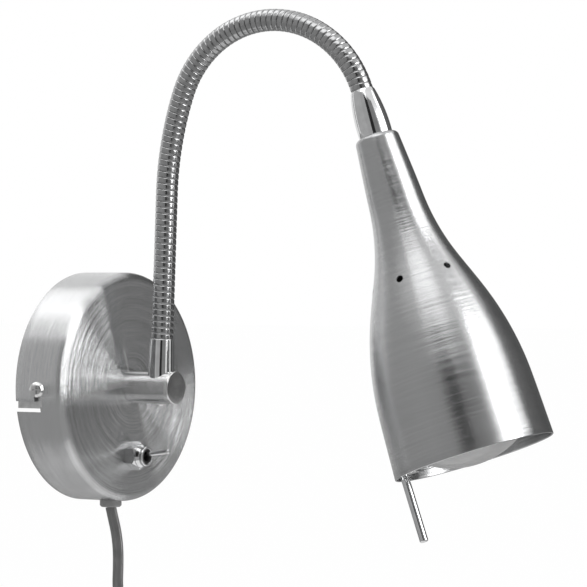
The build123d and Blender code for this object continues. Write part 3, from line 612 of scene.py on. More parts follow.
# Post nut and washer behind the face
def nutMesh(flats, low, high, bore):
    inner, face, corner, chamfer = flats * 0.144, flats * 0.49, flats * 0.585, 0.7
    cone = turnedMesh([(0, low - 2), (inner, low - 2), (face, low - 0.01), (corner, low + chamfer),
                       (corner, high - chamfer), (face, high + 0.01), (inner, high + 2), (0, high + 2)], 72)
    body = carved(prismMesh(hexagonOutline(flats), low, high), [cone], "INTERSECT")
    return carved(body, [rodMesh(bore, low - 3, high + 3)])


def washerMesh(outer, inner, low, high):
    return turnedMesh(rounded([(inner, low, 0.1), (outer, low, 0.3), (outer, high, 0.3), (inner, high, 0.1)], 4), 72)


finished(nutMesh(14, -5.7, -2.2, 5.1), "postNut", zincFinish, "root", ["post_nut"], 30, postPlace)
finished(washerMesh(9, 5.1, -2.2, -1.2), "postWasher", zincFinish, "root", ["post_washer"], 30, postPlace)


# Ferrules: polished, with rounded shoulders
lowerSizes = {"shank": 4.5, "low": -27.05, "step": -20.3, "foot": 6.35, "footTop": -15.4, "top": 5.8, "bore": 5.1}
upperSizes = {"top": 5.6, "middle": 7.6, "end": 7.9, "length": 22.4}


def lowerFerrule():
    s = lowerSizes
    shank, low, step, foot, bore = (s[key] for key in ("shank", "low", "step", "foot", "bore"))
    outline = rounded([(0, low), (shank, low), (shank, step), (foot, step), (foot, s["footTop"]), (s["top"], 0, 0.9),
                       (bore, 0.0), (bore, -1.5), (0, -1.5)], 8)
    ferrule = turnedMesh(outline, 96)
    ferrule.transform(rootPlace)
    stub = placed(rodMesh(postSizes["radius"] + 0.01, -3, 40, 128), postPlace)
    core = placed(rodMesh(shank - 0.01, low + 0.01, -15), rootPlace)
    return finished(joined(carved(ferrule, [stub]), core), "lowerFerrule", rootFinish, "root",
                    ["lower_ferrule"], 35)


def upperFerrule():
    top, middle, end, length = (upperSizes[key] for key in ("top", "middle", "end", "length"))
    # an ogive: quick at the shoulder, then nearly straight
    side = [((1 - t) * (1 - 2 * t) * top + 4 * t * (1 - t) * middle + t * (2 * t - 1) * end, t * length)
            for t in spread(0, 1, 24, 0)]
    outline = [(0, 1.5), (4.95, 1.5), (4.95, 0.15), (5.15, 0.0), (5.4, 0.05)]
    outline += [(r - 0.22 * (1 - z / 1.2) ** 2 if z < 1.2 else r, z) for r, z in side[1:]]
    outline += [(end - 0.1, length + 0.02), (0, length + 0.02)]
    return finished(turnedMesh(outline, 96), "upperFerrule", ferruleFinish, "head", ["upper_ferrule"], 50,
                    headPlace)


lowerFerrule()
upperFerrule()
print("post and ferrules made")


# Neck: a wound strip whose rounded bands run round the centreline as a screw thread does
neckSizes = {"spans": 17, "bandsPerSpan": 5, "radius": 5.25, "crown": 0.36, "edge": 6.0, "rings": 20, "sides": 40,
             "tuck": 1.4}


def neckTree():
    graph, given = geometryTree("woundNeck", {"Radius": "Float", "Crown": "Float", "Pitch": "Float", "Start": "Float",
                                              "Edge": "Float", "Sides": "Int", "Finish": "Material"})
    line = graph.add("GeometryNodeMeshToCurve", {}, {"Mesh": given["Geometry"]})
    capture = graph.add("GeometryNodeCaptureAttribute", {}, {"Geometry": line})
    node = capture.socket.node
    node.capture_items.new("FLOAT", "along")
    node.capture_items.new("VECTOR", "middle")
    graph.inner.links.new(graph.add("GeometryNodeSplineParameter").out("Length").socket, node.inputs[1])
    graph.inner.links.new(graph.add("GeometryNodeInputPosition").socket, node.inputs[2])
    along, middle = Flow(graph, node.outputs[1]), Flow(graph, node.outputs[2])
    ring = graph.add("GeometryNodeCurvePrimitiveCircle", {}, {"Resolution": given["Sides"], "Radius": given["Radius"]})
    roundNode = graph.add("GeometryNodeCaptureAttribute", {}, {"Geometry": ring}).socket.node
    roundNode.capture_items.new("FLOAT", "around")
    graph.inner.links.new(graph.add("GeometryNodeSplineParameter").out("Factor").socket, roundNode.inputs[1])
    around = Flow(graph, roundNode.outputs[1])
    tube = graph.add("GeometryNodeCurveToMesh", {}, {
        "Curve": Flow(graph, node.outputs[0]), "Profile Curve": Flow(graph, roundNode.outputs[0]), "Fill Caps": True})
    phase = ((along + given["Start"]) / given["Pitch"] + around).fraction()
    groove = abs(phase * 2 - 1) ** given["Edge"]
    spoke = graph.vector("NORMALIZE", graph.vector("SUBTRACT", graph.add("GeometryNodeInputPosition"), middle))
    push = graph.vector("SCALE", spoke, groove * given["Crown"] * -1)
    tube = graph.add("GeometryNodeStoreNamedAttribute", {"data_type": "FLOAT", "domain": "POINT"},
                     {"Geometry": tube, "Name": "groove", "Value": groove})
    tube = graph.add("GeometryNodeSetPosition", {}, {"Geometry": tube, "Offset": push})
    closeTree(graph, tube, given["Finish"])
    return graph


def neckFinish():
    f = Finish("woundNeckStrip", rootPlace)
    groove = f.add("ShaderNodeAttribute", {"attribute_name": "groove"}).out("Fac")
    # painted shade: the grooves' base colour is darkened towards near black, and the grooves are made rougher
    grooveShade = f.span(groove, 0.35, 0.95)
    haze, peel = f.noise(0.5, 3.0), f.noise(3.0, 2.0)
    metal = f.blend(f.span(haze, 0.3, 0.7), grey(0.33, -0.006), grey(0.42, -0.006))
    colour = f.blend(grooveShade, metal, grey(0.09))
    rough = 0.20 + 0.08 * (haze - 0.5) + grooveShade * 0.25
    return f.done(Base_Color=colour, Metallic=1.0, Roughness=rough, Normal=f.bump(peel, 0.004))


def neckPieces():
    s = neckSizes
    graph, finish = neckTree(), neckFinish()
    bands = s["spans"] * s["bandsPerSpan"]
    pitch = neckLength / bands
    # gap after span i: the joint's two bodies, or the one body that holds both spans
    bodies = {1: ("root", "span_02"), 2: ("span_02", "span_03"), 3: ("span_03", "span_04"), 4: ("span_04",),
              5: ("span_04", "span_06"), 6: ("span_06", "span_07"), 7: ("span_07", "span_08"), 8: ("span_08",),
              9: ("span_08", "span_10"), 10: ("span_10",), 11: ("span_10", "span_12"), 12: ("span_12", "span_13"),
              13: ("span_13", "span_14"), 14: ("span_14",), 15: ("span_14", "span_16"), 16: ("span_16", "head")}
    stretches = [(0, 3, ("root",))]
    stretches += [(5 * i - 2, 5 * i + 3, bodies[i]) for i in range(1, s["spans"])]
    stretches += [(bands - 2, bands, ("head",))]
    names = ["neck_span_%02d" % k for k in range(1, s["spans"] + 1)]
    for number, (first, last, riders) in enumerate(stretches, 1):
        low = first * pitch - (s["tuck"] if first == 0 else 0)
        high = last * pitch + (s["tuck"] if last == bands else 0)
        count = (last - first) * s["rings"]
        points = [neckPlace(low + (high - low) * k / count).translation for k in range(count + 1)]
        line = bpy.data.meshes.new("line")
        line.from_pydata(points, [(k, k + 1) for k in range(count)], [])
        mesh = grown(line, graph, {"Radius": s["radius"] * mm, "Crown": s["crown"] * mm, "Pitch": pitch * mm,
                                   "Start": low * mm, "Edge": s["edge"], "Sides": s["sides"], "Finish": finish})
        piece = finished(mesh, "neck_%02d" % number, None, riders[0] if len(riders) == 1 else None,
                         names if number == 1 else (), 60)
        if len(riders) == 2:
            joint = 5 * (number - 1) * pitch
            neckPlace(joint - 2 * pitch).translation
            neckPlace(joint + 2 * pitch).translation
            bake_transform(piece)


neckPieces()
print("neck made")


# Shade: a turned bell with six round vents, its sheet turned to a smooth lip
shadeSizes = {"start": 22.4, "length": 155.9, "wall": 0.9, "mouth": 75.5, "skirt": 73.4, "skirtLength": 28.0,
              "hip": 51.0, "hipLength": 79.0, "band": 13.0, "waist": 25.6, "waistLength": 128.0, "crown": 20.8,
              "corner": 2.6, "vents": 6, "vent": 3.4, "ventAlong": 86.0, "ventPhase": 28.0}
mouthAt = shadeSizes["start"] + shadeSizes["length"]


def shadeLine(inset):
    s = shadeSizes

    def corner(size, fromMouth):
        return Vector((size / 2 - inset, mouthAt - fromMouth))

    lip = corner(s["mouth"], 0)
    skirt, hip, waist = (corner(s[key], s[key + "Length"]) for key in ("skirt", "hip", "waist"))
    line = spread(lip, skirt, 6, 0)
    hipArc = tangentArc(skirt, skirt - lip, hip, 26)
    line += hipArc
    heading = (hipArc[-1] - hipArc[-2]).normalized()
    band = hip + heading * s["band"]
    line += spread(hip, band, 6)
    line += tangentArc(band, heading, waist, 26)
    crown = corner(s["crown"], s["length"] - s["corner"])
    line += spread(waist, crown, 8)
    for turn in range(10):  # ease the joins between the arcs
        line = [line[0]] + [(a + b * 2 + c) / 4 for a, b, c in zip(line, line[1:], line[2:])] + [line[-1]]
    return line


def shadeMesh():
    s = shadeSizes
    outer, inner = shadeLine(0), shadeLine(s["wall"])
    top, corner, under, lip = s["start"], s["corner"], s["corner"] - s["wall"], s["wall"] / 2
    bend = s["crown"] / 2 - corner
    crown = [Vector((bend + corner * cos(a), top + corner - corner * sin(a))) for a in spread(0, pi / 2, 8)]
    crown += [Vector((5.6, top)), Vector((5.1, top + 0.1)), Vector((5.1, top + s["wall"]))]
    roof = [Vector((bend + under * sin(a), top + corner - under * cos(a))) for a in spread(0, pi / 2, 5, 0)]
    edge = [Vector((outer[0].x - lip + lip * cos(a), mouthAt - lip + lip * sin(a))) for a in spread(pi, 0, 8)[:-1]]
    outer[0], inner[0] = Vector((outer[0].x, mouthAt - lip)), Vector((outer[0].x - s["wall"], mouthAt - lip))
    return turnedMesh(outer + crown + roof + inner[::-1][1:] + edge, 160)


def ventTree():
    graph, given = geometryTree("ventedShell", {"Vents": "Int", "Vent": "Float", "Ring": "Float", "High": "Float",
                                                "Slope": "Float", "Phase": "Float", "Finish": "Material"})
    points = graph.add("GeometryNodePoints", {}, {"Count": given["Vents"]})
    angle = graph.add("GeometryNodeInputIndex") * (2 * pi) / given["Vents"] + given["Phase"]
    ring = given["Ring"]
    spot = graph.combined(angle.maths("COSINE", angle) * ring, angle.maths("SINE", angle) * ring, given["High"])
    points = graph.add("GeometryNodeSetPosition", {}, {"Geometry": points, "Position": spot})
    drill = graph.add("GeometryNodeMeshCylinder", {}, {"Vertices": 32, "Radius": given["Vent"] / 2, "Depth": 0.008})
    turn = graph.combined(0.0, given["Slope"] + pi / 2, angle)
    drills = graph.add("GeometryNodeInstanceOnPoints", {}, {"Points": points, "Instance": drill, "Rotation": turn})
    drills = graph.add("GeometryNodeRealizeInstances", {}, {"Geometry": drills})
    shell = graph.add("GeometryNodeMeshBoolean", {"operation": "DIFFERENCE", "solver": "EXACT"},
                      {"Mesh 1": given["Geometry"], "Mesh 2": drills})
    closeTree(graph, shell, given["Finish"])
    return graph


def shadePiece():
    s = shadeSizes
    line = shadeLine(0)
    at = mouthAt - s["ventAlong"]
    near = min(range(len(line) - 1), key=lambda k: abs((line[k] + line[k + 1]).y / 2 - at))
    a, b = line[near], line[near + 1]
    ring = a.x + (b.x - a.x) * (at - a.y) / (b.y - a.y)
    slope = atan2(b.x - a.x, b.y - a.y)
    mesh = grown(shadeMesh(), ventTree(), {
        "Vents": s["vents"], "Vent": s["vent"] * mm, "Ring": ring * mm, "High": at * mm, "Slope": slope,
        "Phase": radians(s["ventPhase"]), "Finish": shadeFinish})
    return finished(mesh, "shadeShell", None, "head", ["shade"], 35, headPlace)


shadePiece()
print("shade made")


# Nipple, nut, lampholder and bulb inside the shade
def threaded(radius, low, high, pitch, depth):
    side = []
    count = int((high - low) / pitch)
    for k in range(count):
        z = low + (high - low) * k / count
        side += [(radius - depth, z + 0.1 * pitch), (radius, z + 0.45 * pitch), (radius, z + 0.65 * pitch)]
    return [(radius - depth, low)] + side + [(radius - depth, high)]


nippleSizes = {"radius": 5.0, "bore": 3.6, "end": 4.4, "low": 13.0, "high": 71.0, "pitch": 1.0, "thread": 0.45}


def nippleMesh():
    s = nippleSizes
    bore, end, low, high = s["bore"], s["end"], s["low"], s["high"]
    side = threaded(s["radius"], low + 0.1, high - 0.1, s["pitch"], s["thread"])
    return turnedMesh([(bore, low), (end, low)] + side + [(end, high), (bore, high)], 40)


finished(nippleMesh(), "shadeNipple", zincFinish, "head", ["shade_nipple"], 30, headPlace)
finished(nutMesh(14, 23.3, 26.3, 5.1), "shadeNut", zincFinish, "head", ["shade_nut"], 30, headPlace)

holderLine = rounded([(5.1, 66, 0.4), (8, 66, 1.0), (8, 75, 1.0), (13.5, 82, 1.5), (13.5, 84.5), (13.0, 85.0),
                      (13.0, 86.0), (13.5, 86.5), (13.5, 116, 1.0), (7.85, 116, 0.6), (7.85, 90), (3.0, 90),
                      (3.0, 71.2), (5.1, 71.1)], 5)
finished(turnedMesh(holderLine, 72), "lampholder", holderFinish, "head", ["lampholder_body"], 35, headPlace)


shellSizes = {"outer": 7.55, "inner": 7.15, "low": 90.2, "length": 23.6, "wave": 0.18, "pitch": 2.8}
capSizes = {"outer": 6.7, "low": 101.4, "length": 13.0, "wave": 0.22, "pitch": 2.82}


def rolledSide(radius, s):
    # a rolled thread
    return [(radius + s["wave"] * cos(2 * pi * (z - s["low"]) / s["pitch"]), z)
            for z in spread(s["low"], s["low"] + s["length"], 48, 0)]


def screwShell():
    s = shellSizes
    return turnedMesh(rolledSide(s["outer"], s) + rolledSide(s["inner"], s)[::-1], 64)


def bulbCap():
    foot = [(0, 98.65), (3.0, 98.65), (4.9, 98.75), (6.2, 100.4)]
    brim = [(6.95, 115.4), (6.95, 117.4), (6.6, 117.6), (0, 117.6)]
    return turnedMesh(foot + rolledSide(capSizes["outer"], capSizes) + brim, 64)


finished(screwShell(), "lampholderShell", brassFinish, "head", ["lampholder_shell"], 40, headPlace)
contactLine = rounded([(0, 90), (3.0, 90, 0.2), (3.0, 91, 0.3), (1.7, 91), (1.7, 96.55, 0.4), (0, 96.55)], 4)
finished(turnedMesh(contactLine, 40), "lampholderContact", brassFinish, "head", ["lampholder_contact"],
         35, headPlace)
finished(bulbCap(), "bulbCap", capFinish, "head", ["bulb_cap"], 40, headPlace)
finished(turnedMesh(rounded([(0, 96.6), (1.5, 96.6, 0.5), (2.5, 97.6, 0.3), (2.5, 98.6), (0, 98.6)], 4), 32),
         "bulbContact", capFinish, "head", ["bulb_contact"], 35, headPlace)

bulbSizes = {"widest": 25.0, "face": 22.0, "dome": 42.0, "tip": 181.6, "neck": 8.5, "neckEnd": 126.6,
             "frostLow": 165.5, "frostHigh": 168.5}


def bulbFinish():
    # silvered inside from the neck to the widest ring, frosted over the face
    f = Finish("reflectorBulb", headPlace)
    front = f.span(f.axes()[2], bulbSizes["frostLow"], bulbSizes["frostHigh"])
    cloud = f.noise(0.15, 2.0)
    colour = f.blend(front, f.blend(cloud, grey(0.60), grey(0.68)), f.blend(cloud, grey(0.26), grey(0.31)))
    rough = 0.22 + 0.20 * front + 0.06 * (cloud - 0.5)
    return f.done(Base_Color=colour, Metallic=0.85 * (1 - front), Roughness=rough, Coat_Weight=0.6 * front,
                  Coat_Roughness=0.12, Normal=f.bump(f.noise(0.8, 2.0), 0.006))


def bulbPiece():
    s = bulbSizes
    face, dome, neck = s["face"], s["dome"], s["neck"]
    centre = s["tip"] - dome
    rim = centre + sqrt(dome ** 2 - face ** 2)
    foot = [Vector(p) for p in ((0, 117.7), (6.5, 117.7), (7.6, 119.0), (neck, 121.5), (neck, s["neckEnd"]))]
    start, middle, end = foot[-1], Vector((19.0, rim - 21)), Vector((s["widest"], rim - 5))
    # the cone is bowed through its middle
    line = foot + [start * (1 - t) * (1 - 2 * t) + middle * 4 * t * (1 - t) + end * t * (2 * t - 1)
                   for t in spread(0, 1, 28)]
    line += tangentArc(end, (0, 1), (face, rim), 14)
    line += [Vector((r, centre + sqrt(dome ** 2 - r ** 2))) for r in spread(face, 0, 16)]
    for turn in range(2):  # ease the joins from the neck on
        line = line[:5] + [(a + b * 2 + c) / 4 for a, b, c in zip(line[4:], line[5:], line[6:])] + [line[-1]]
    return finished(turnedMesh(line, 128), "bulb", bulbFinish(), "head", ["bulb_glass"], 60, headPlace)


bulbPiece()


# Handle rod at the mouth
rodSizes = {"radius": 2.0, "axis": 33.45, "phase": 343.0, "start": 148.3, "end": 208.3, "edge": 0.3, "tip": 1.0}


def handleRod():
    s = rodSizes
    r, start, end = s["radius"], s["start"], s["end"]
    place = headPlace @ turnedBy("Z", s["phase"]) @ moved(s["axis"])
    outline = rounded([(0, start), (r, start, s["edge"]), (r, end, s["tip"]), (0, end)], 6)
    return finished(turnedMesh(outline, 48), "handleRod", rodFinish, "head", ["handle_rod"], 35, place)


handleRod()
print("head made")


# Switch: a toggle with a hexagon nut, a collar and a black throat
switchSizes = {"flats": 12.0, "nutHigh": 5.6, "bore": 3.6, "collar": 4.75, "top": 9.0, "bush": 3.5, "seat": -1.85,
               "throat": 1.8, "width": 8.4, "depth": 13.2, "back": -9.6, "tags": 3.3, "pivot": 2.6, "tilt": -9.4,
               "lever": 17.4}


def switchNut():
    s = switchSizes
    flats, high, bore, collar, top = s["flats"], s["nutHigh"], s["bore"], s["collar"], s["top"]
    cone = turnedMesh([(0, -1), (flats, -1), (flats, 0), (0.58 * flats, 4.4), (flats / 2, high), (0, high)], 72)
    nut = carved(prismMesh(hexagonOutline(flats, 60), 0, high), [cone], "INTERSECT")
    ring = turnedMesh(rounded([(bore, 5.55), (5.7, 5.55), (5.7, 5.9, 0.2), (collar, 7.2, 0.5), (collar, top, 0.45),
                               (bore, top, 0.25)], 5), 64)
    return joined(carved(nut, [rodMesh(bore, -2, 12)]), ring)


def switchBush():
    r, seat, throat = switchSizes["bush"], switchSizes["seat"], switchSizes["throat"]
    side = [(0, seat), (r, seat)] + threaded(r, seat + 0.05, 8.4, 0.75, 0.3)
    return turnedMesh(side + [(3.3, 8.6), (2.6, 8.6), (throat, 3.6), (throat, 3.2), (throat, 0.8), (0, 0.8)], 48)


def switchCase():
    x, y, back = switchSizes["width"] / 2, switchSizes["depth"] / 2, switchSizes["back"]
    return joined(boxMesh((-x, -y, back), (x, y, switchSizes["seat"] - 0.01), 0.5, 3),
                  boxMesh((0.2 - x, 0.2 - y, -11.34), (x - 0.2, y - 0.2, back + 0.1), 0.3, 2))


def switchTags():
    hole = placed(rodMesh(0.7, -2, 2, 24), moved(0, 0, -3) @ turnedBy("X", 90))
    tag = carved(boxMesh((-1.5, -0.4, -4.5), (1.5, 0.4, 0), 0.2, 2), [hole])
    return repeated(tag, [(0, side * switchSizes["tags"], -11.35) for side in (-1, 1)], [(0, 0, 0)] * 2, screwFinish)


def switchLever():
    long = switchSizes["lever"]
    ball = [(0, -1.5), (0.8, -1.27), (1.3, -0.75), (1.5, 0), (1.35, 0.7), (1.05, 1.3)]
    stem = [(1.0 + 0.3 * ((z - 1.5) / long) ** 1.3, z) for z in spread(1.5, 1.5 + long, 10, 0)]
    return turnedMesh(ball + stem + [(1.2, 19.3), (0.9, 19.65), (0.5, 19.78), (0, 19.8)], 40)


leverPlace = switchPlace @ moved(0, 0, switchSizes["pivot"]) @ turnedBy("X", switchSizes["tilt"])
washer = washerMesh(5.5, switchSizes["bore"], switchSizes["seat"], -1.25)
finished(switchNut(), "switchNut", switchChrome, "root", ["switch_nut"], 25, switchPlace)
finished(switchBush(), "switchBush", switchPlastic, "root", ["switch_bush"], 30, switchPlace)
finished(washer, "switchWasher", zincFinish, "root", ["switch_washer"], 30, switchPlace)
finished(switchCase(), "switchBody", switchPlastic, "root", ["switch_body"], 30, switchPlace)
finished(switchTags(), "switchTags", None, "root", ["switch_tags"], 30, switchPlace)
finished(switchLever(), "switchLever", switchChrome, "toggle", ["switch_lever"], 50, leverPlace)
print("switch made")


# Terminal block, its screws and the leads inside the cup
blockPlace = roomPlace(0, 1.6, 27.5)
blockBody = joined(boxMesh((-8.5, -6.5, 0), (-0.15, 6.5, 9.2), 0.7), boxMesh((0.15, -6.5, 0), (8.5, 6.5, 9.2), 0.7),
                   boxMesh((-8.2, -5.6, 0.1), (8.2, 5.6, 6.6), 0.5))
towers = [placed(washerMesh(3.2, 2.0, 5.0, 10.0), moved(side * 4.25)) for side in (-1, 1)]
finished(joined(blockBody, *towers), "terminalBlock", blockFinish, "root", ["terminal_block"], 35, blockPlace)


def slottedGrub(radius, low, high):
    return carved(turnedMesh(rounded([(0, low), (radius, low, 0.2), (radius, high, 0.25), (0, high)], 4), 32),
                  [boxMesh((-radius - 1, -0.3, high - 0.7), (radius + 1, 0.3, high + 1))])


grubs = repeated(slottedGrub(1.8, 8.0, 9.6), [(-4.25, 0, 0), (4.25, 0, 0)], [(0, 0, 0.4), (0, 0, -0.7)], screwFinish)
finished(grubs, "terminalScrews", None, "root", ["terminal_screws"], 30, blockPlace)
boltSizes = {"head": 2.6, "high": 1.8, "low": 10.0, "shank": 1.5, "length": 10.0, "arm": 0.5, "reach": 1.3, "deep": 1.0}
finished(crossHead(boltSizes), "blockBolt", screwFinish, "root", ["block_bolt"], 35, blockPlace)


def splineLine(points, resolution=24):
    # a NURBS line of order 3 through its ends, as metres; returns the points that Blender makes of it
    curve = bpy.data.curves.new("route", "CURVE")
    curve.dimensions, curve.resolution_u = "3D", resolution
    spline = curve.splines.new("NURBS")
    spline.points.add(len(points) - 1)
    for target, point in zip(spline.points, points):
        target.co = (*(Vector(point) * mm), 1)
    spline.order_u = 3
    spline.use_endpoint_u = True
    carrier = linked("route", curve)
    line = [v.co.copy() for v in evaluated(carrier).vertices]
    bpy.data.objects.remove(carrier)
    return line


def sweptMesh(line, section, firstSide=None):
    # a section of (x, y) in mm carried along a line, with closed ends; the map "run" says how far along
    bm = bmesh.new()
    tangents = [(line[min(k + 1, len(line) - 1)] - line[max(k - 1, 0)]).normalized() for k in range(len(line))]
    side = Vector(firstSide) if firstSide else tangents[0].orthogonal()
    side = (side - tangents[0] * side.dot(tangents[0])).normalized()
    rings, along = [], [0.0]
    for k, (point, tangent) in enumerate(zip(line, tangents)):
        if k:
            along.append(along[-1] + (point - line[k - 1]).length)
            side = tangents[k - 1].rotation_difference(tangent) @ side
            side = (side - tangent * side.dot(tangent)).normalized()
        other = tangent.cross(side)
        rings.append([bm.verts.new(point + (side * x + other * y) * mm) for x, y in section])
    layer = bm.loops.layers.uv.new("run")
    size = len(section)
    for k in range(len(rings) - 1):
        for j in range(size):
            n = (j + 1) % size
            face = bm.faces.new((rings[k][j], rings[k][n], rings[k + 1][n], rings[k + 1][j]))
            for loop, (row, col) in zip(face.loops, ((k, j), (k, j + 1), (k + 1, j + 1), (k + 1, j))):
                loop[layer].uv = (along[row] * 10, col / size)
    bm.faces.new(rings[0][::-1])
    bm.faces.new(rings[-1])
    return meshFrom(bm)


def roundSection(radius, count=20):
    return [(radius * cos(2 * pi * k / count), radius * sin(2 * pi * k / count)) for k in range(count)]


entryPoints = [cordExit, (0, -14.8, -46), (7.5, -11.8, -36.5), (12.4, -8.4, -24), (13.6, -7.4, -9),
               (9.6, -6.9, 4), (4.25, -6.6, 13.5), (4.25, -6.6, 21)]
rootLeadPoints = [(-4.25, -6.6, 21), (-4.25, -6.6, 13), (-1.85, -8.4, 4.6), (-0.05, -13.4, 0), (0.0, -24, 0),
                  (0.0, -40, 0)]


def leadPieces():
    entry = sweptMesh(splineLine(entryPoints), roundSection(2.5))
    finished(entry, "entryLead", leadFinish, "root", ["entry_lead"], 60)
    twin = sweptMesh(splineLine(rootLeadPoints), roundSection(2.05))
    finished(twin, "neckLead", leadFinish, "root", ["neck_lead"], 60)


leadPieces()


# Gland: a soft plastic collar under the cup
glandSizes = {"bore": 2.85, "flange": 5.25, "stem": 4.0, "under": -55.0, "top": -49.0, "cup": 55.03}


def glandPiece():
    s = glandSizes
    bore, flange, stem, under, top, low = s["bore"], s["flange"], s["stem"], s["under"], s["top"], cordExit[2]
    outline = rounded([(bore, low, 0.25), (4.45, low, 0.4), (flange, low + 0.8, 0.5), (flange, under),
                       (stem, under + 0.1), (stem, top, 0.4), (bore, top)], 5)
    mesh = turnedMesh(outline, 64)
    for v in mesh.vertices:  # the flange follows the cup's side
        if v.co.z > (under - 0.4) * mm and v.co.xy.length > (stem + 0.3) * mm:
            v.co.z = -sqrt((s["cup"] * mm) ** 2 - v.co.x ** 2)
    return finished(mesh, "cordGland", glandFinish, "root", ["cord_gland"], 40, moved(0, cordExit[1]))


glandPiece()


# Cord: flat twin flex from the gland, down, and put away in a coil with its plug
cordSizes = {"width": 5.2, "thick": 2.75, "coilRadius": 35.6, "turnPitch": 6.8, "layerPitch": 6.2,
             "coilFront": 23.0, "centreX": -24.0, "centreZ": -149.0, "halfTurns": 14, "perHalf": 6}
dropPoints = [cordExit, (0.6, -15.6, -63), (1.4, -17.0, -70), (1.8, -17.9, -78), (1.9, -17.9, -87),
              (1.9, -17.4, -97), (3.6, -18.2, -106.5), (7.2, -20.4, -115.5), (10.6, -22.2, -124.5), (11.6, -23.0, -134)]
tailPoints = [(8.2, -4.4, -162.5), (8.4, -5.3, -172), (8.7, -7.2, -181.5), (8.7, -8.0, -190), (8.7, -8.0, -198)]


def coilPoints():
    s = cordSizes
    steps = [0, 1, 2, 3, 3, 2, 1, 0]

    def crossing(k):
        side = 1 if k % 2 == 0 else -1
        return (side, s["coilRadius"] - steps[k % 8] * s["turnPitch"] / 2, s["coilFront"] - (k // 4) * s["layerPitch"])

    points = []
    swell = 1 / cos(pi / s["perHalf"] / 2)
    for k in range(s["halfTurns"]):
        (side, here, depth), (nextSide, there, nextDepth) = crossing(k), crossing(k + 1)
        across = (s["centreX"] + side * here, s["centreX"] + nextSide * there)
        middle, reach = sum(across) / 2, abs(across[0] - across[1]) / 2
        down = -1 if k % 2 == 0 else 1
        for j in range(s["perHalf"]):
            share = (j + 0.5) / s["perHalf"]
            angle = pi * share
            points.append((middle + side * reach * swell * cos(angle), -(depth + (nextDepth - depth) * share),
                           s["centreZ"] + down * reach * swell * sin(angle)))
    return points


def cordFinish():
    # clear sheath over tinned strands: grey, glossy, with the strands' lay just showing
    f = Finish("twinFlex")
    run = f.add("ShaderNodeUVMap", {"uv_map": "run"})
    parts = f.add("ShaderNodeSeparateXYZ", {}, {0: run})
    lay = f.combined(parts.out("X") * 60, parts.out("Y") * 10, 0.0)
    strands = f.add("ShaderNodeTexWave", {"wave_type": "BANDS", "bands_direction": "DIAGONAL"},
                    {"Vector": lay, "Scale": 1.0, "Distortion": 1.0, "Detail": 1.0}).out("Fac")
    cloud = f.noise(0.2, 3.0)
    tone = f.span(strands * 0.5 + cloud * 0.5, 0.25, 0.8)
    return f.done(Base_Color=f.blend(tone, grey(0.10), grey(0.24)), Metallic=0.3, Coat_Weight=0.25, Coat_Roughness=0.15,
                  Roughness=0.34 + 0.1 * (cloud - 0.5), Normal=f.bump(strands, 0.02, 0.5))


def flexSection():
    # two round cores side by side with a web between them
    s = cordSizes
    r, centre = s["thick"] / 2, (s["width"] - s["thick"]) / 2
    points = []
    for side in (1, -1):
        for k in range(13):
            a = radians(-128 + 256 * k / 12)
            points.append((side * (centre + r * cos(a)), side * r * sin(a)))
    return points


def cordPiece():
    line = splineLine(dropPoints + coilPoints() + tailPoints, 8)
    length = sum((b - a).length for a, b in zip(line, line[1:]))
    mesh = sweptMesh(line, flexSection(), toRight)
    piece = finished(mesh, "cord", cordFinish(), "root", ["cord_drop", "cord_coil", "cord_tail"], 60)
    print("cord", round(length, 3), "m")
    return piece, line, length


cord, cordLine, cordLength = cordPiece()


# Tie round the coil
tieSizes = {"left": -63.9, "right": -41.9, "front": -27.3, "back": -0.1, "wall": 1.1, "high": 9.0, "corner": 3.4}
tieFinish = moulded("tieStrap", {"dark": grey(0.035), "light": grey(0.06), "rough": 0.75, "grain": 1.6, "depth": 0.05})


def tieLoop(inset):
    s = tieSizes
    r = s["corner"]
    left, right, front, back = s["left"] + r, s["right"] - r, s["front"] + r, s["back"] - r
    points = []
    for x, y, start in ((right, back, 0), (left, back, 90), (left, front, 180), (right, front, 270)):
        for turn in spread(start, start + 90, 8, 0):
            points.append((x + (r - inset) * cos(radians(turn)), y + (r - inset) * sin(radians(turn))))
    return points


def tiePiece():
    high, wall = tieSizes["high"], tieSizes["wall"]
    outer, inner = prismMesh(tieLoop(0), -high / 2, high / 2, 0.3, 2), prismMesh(tieLoop(wall), -high, high)
    return finished(carved(outer, [inner]), "coilTie", tieFinish, "root", ["coil_tie"], 35,
                    moved(0, 0, cordSizes["centreZ"]))


tiePiece()


# Plug: a flat moulded body with a ribbed neck and two sleeved pins
plugSizes = {"width": 35.3, "thick": 13.7, "neck": 12.0, "long": 24.0, "shoulder": 9.0, "ribs": 5, "ribStep": 2.3}
plugPlace = placeOf(tailPoints[-1], (1, 0, 0), (0, 0, -1))


def plugMesh():
    s = plugSizes
    half, thick, neck = s["width"] / 2, s["thick"], s["neck"]
    shoulder, end = neck + s["shoulder"], neck + s["long"]
    outline = rounded([(-6.5, neck, 2), (6.5, neck, 2), (half, shoulder, 7), (half, end, 2.2), (-half, end, 2.2),
                       (-half, shoulder, 7)], 8)
    slab = prismMesh(outline, -thick / 2, thick / 2, 1.6, 4)
    slab.transform(turnedBy("X", 90))
    ribs = [(0, 0.0), (3.0, 0.0), (3.6, 0.3)]
    for k in range(s["ribs"]):
        z, r = 0.6 + k * s["ribStep"], 3.7 + k * 0.42
        ribs += [(r, z), (r + 0.35, z + 0.35), (r + 0.35, z + 1.35), (r, z + 1.7), (r - 0.35, z + 1.95)]
    return joined(slab, turnedMesh(ribs + [(6.2, 12.2), (6.4, 14.0), (0, 14.0)], 48))


plug = finished(plugMesh(), "plugBody", plugFinish, "root", ["plug_body"], 40, plugPlace)
print("cord, tie and plug made")


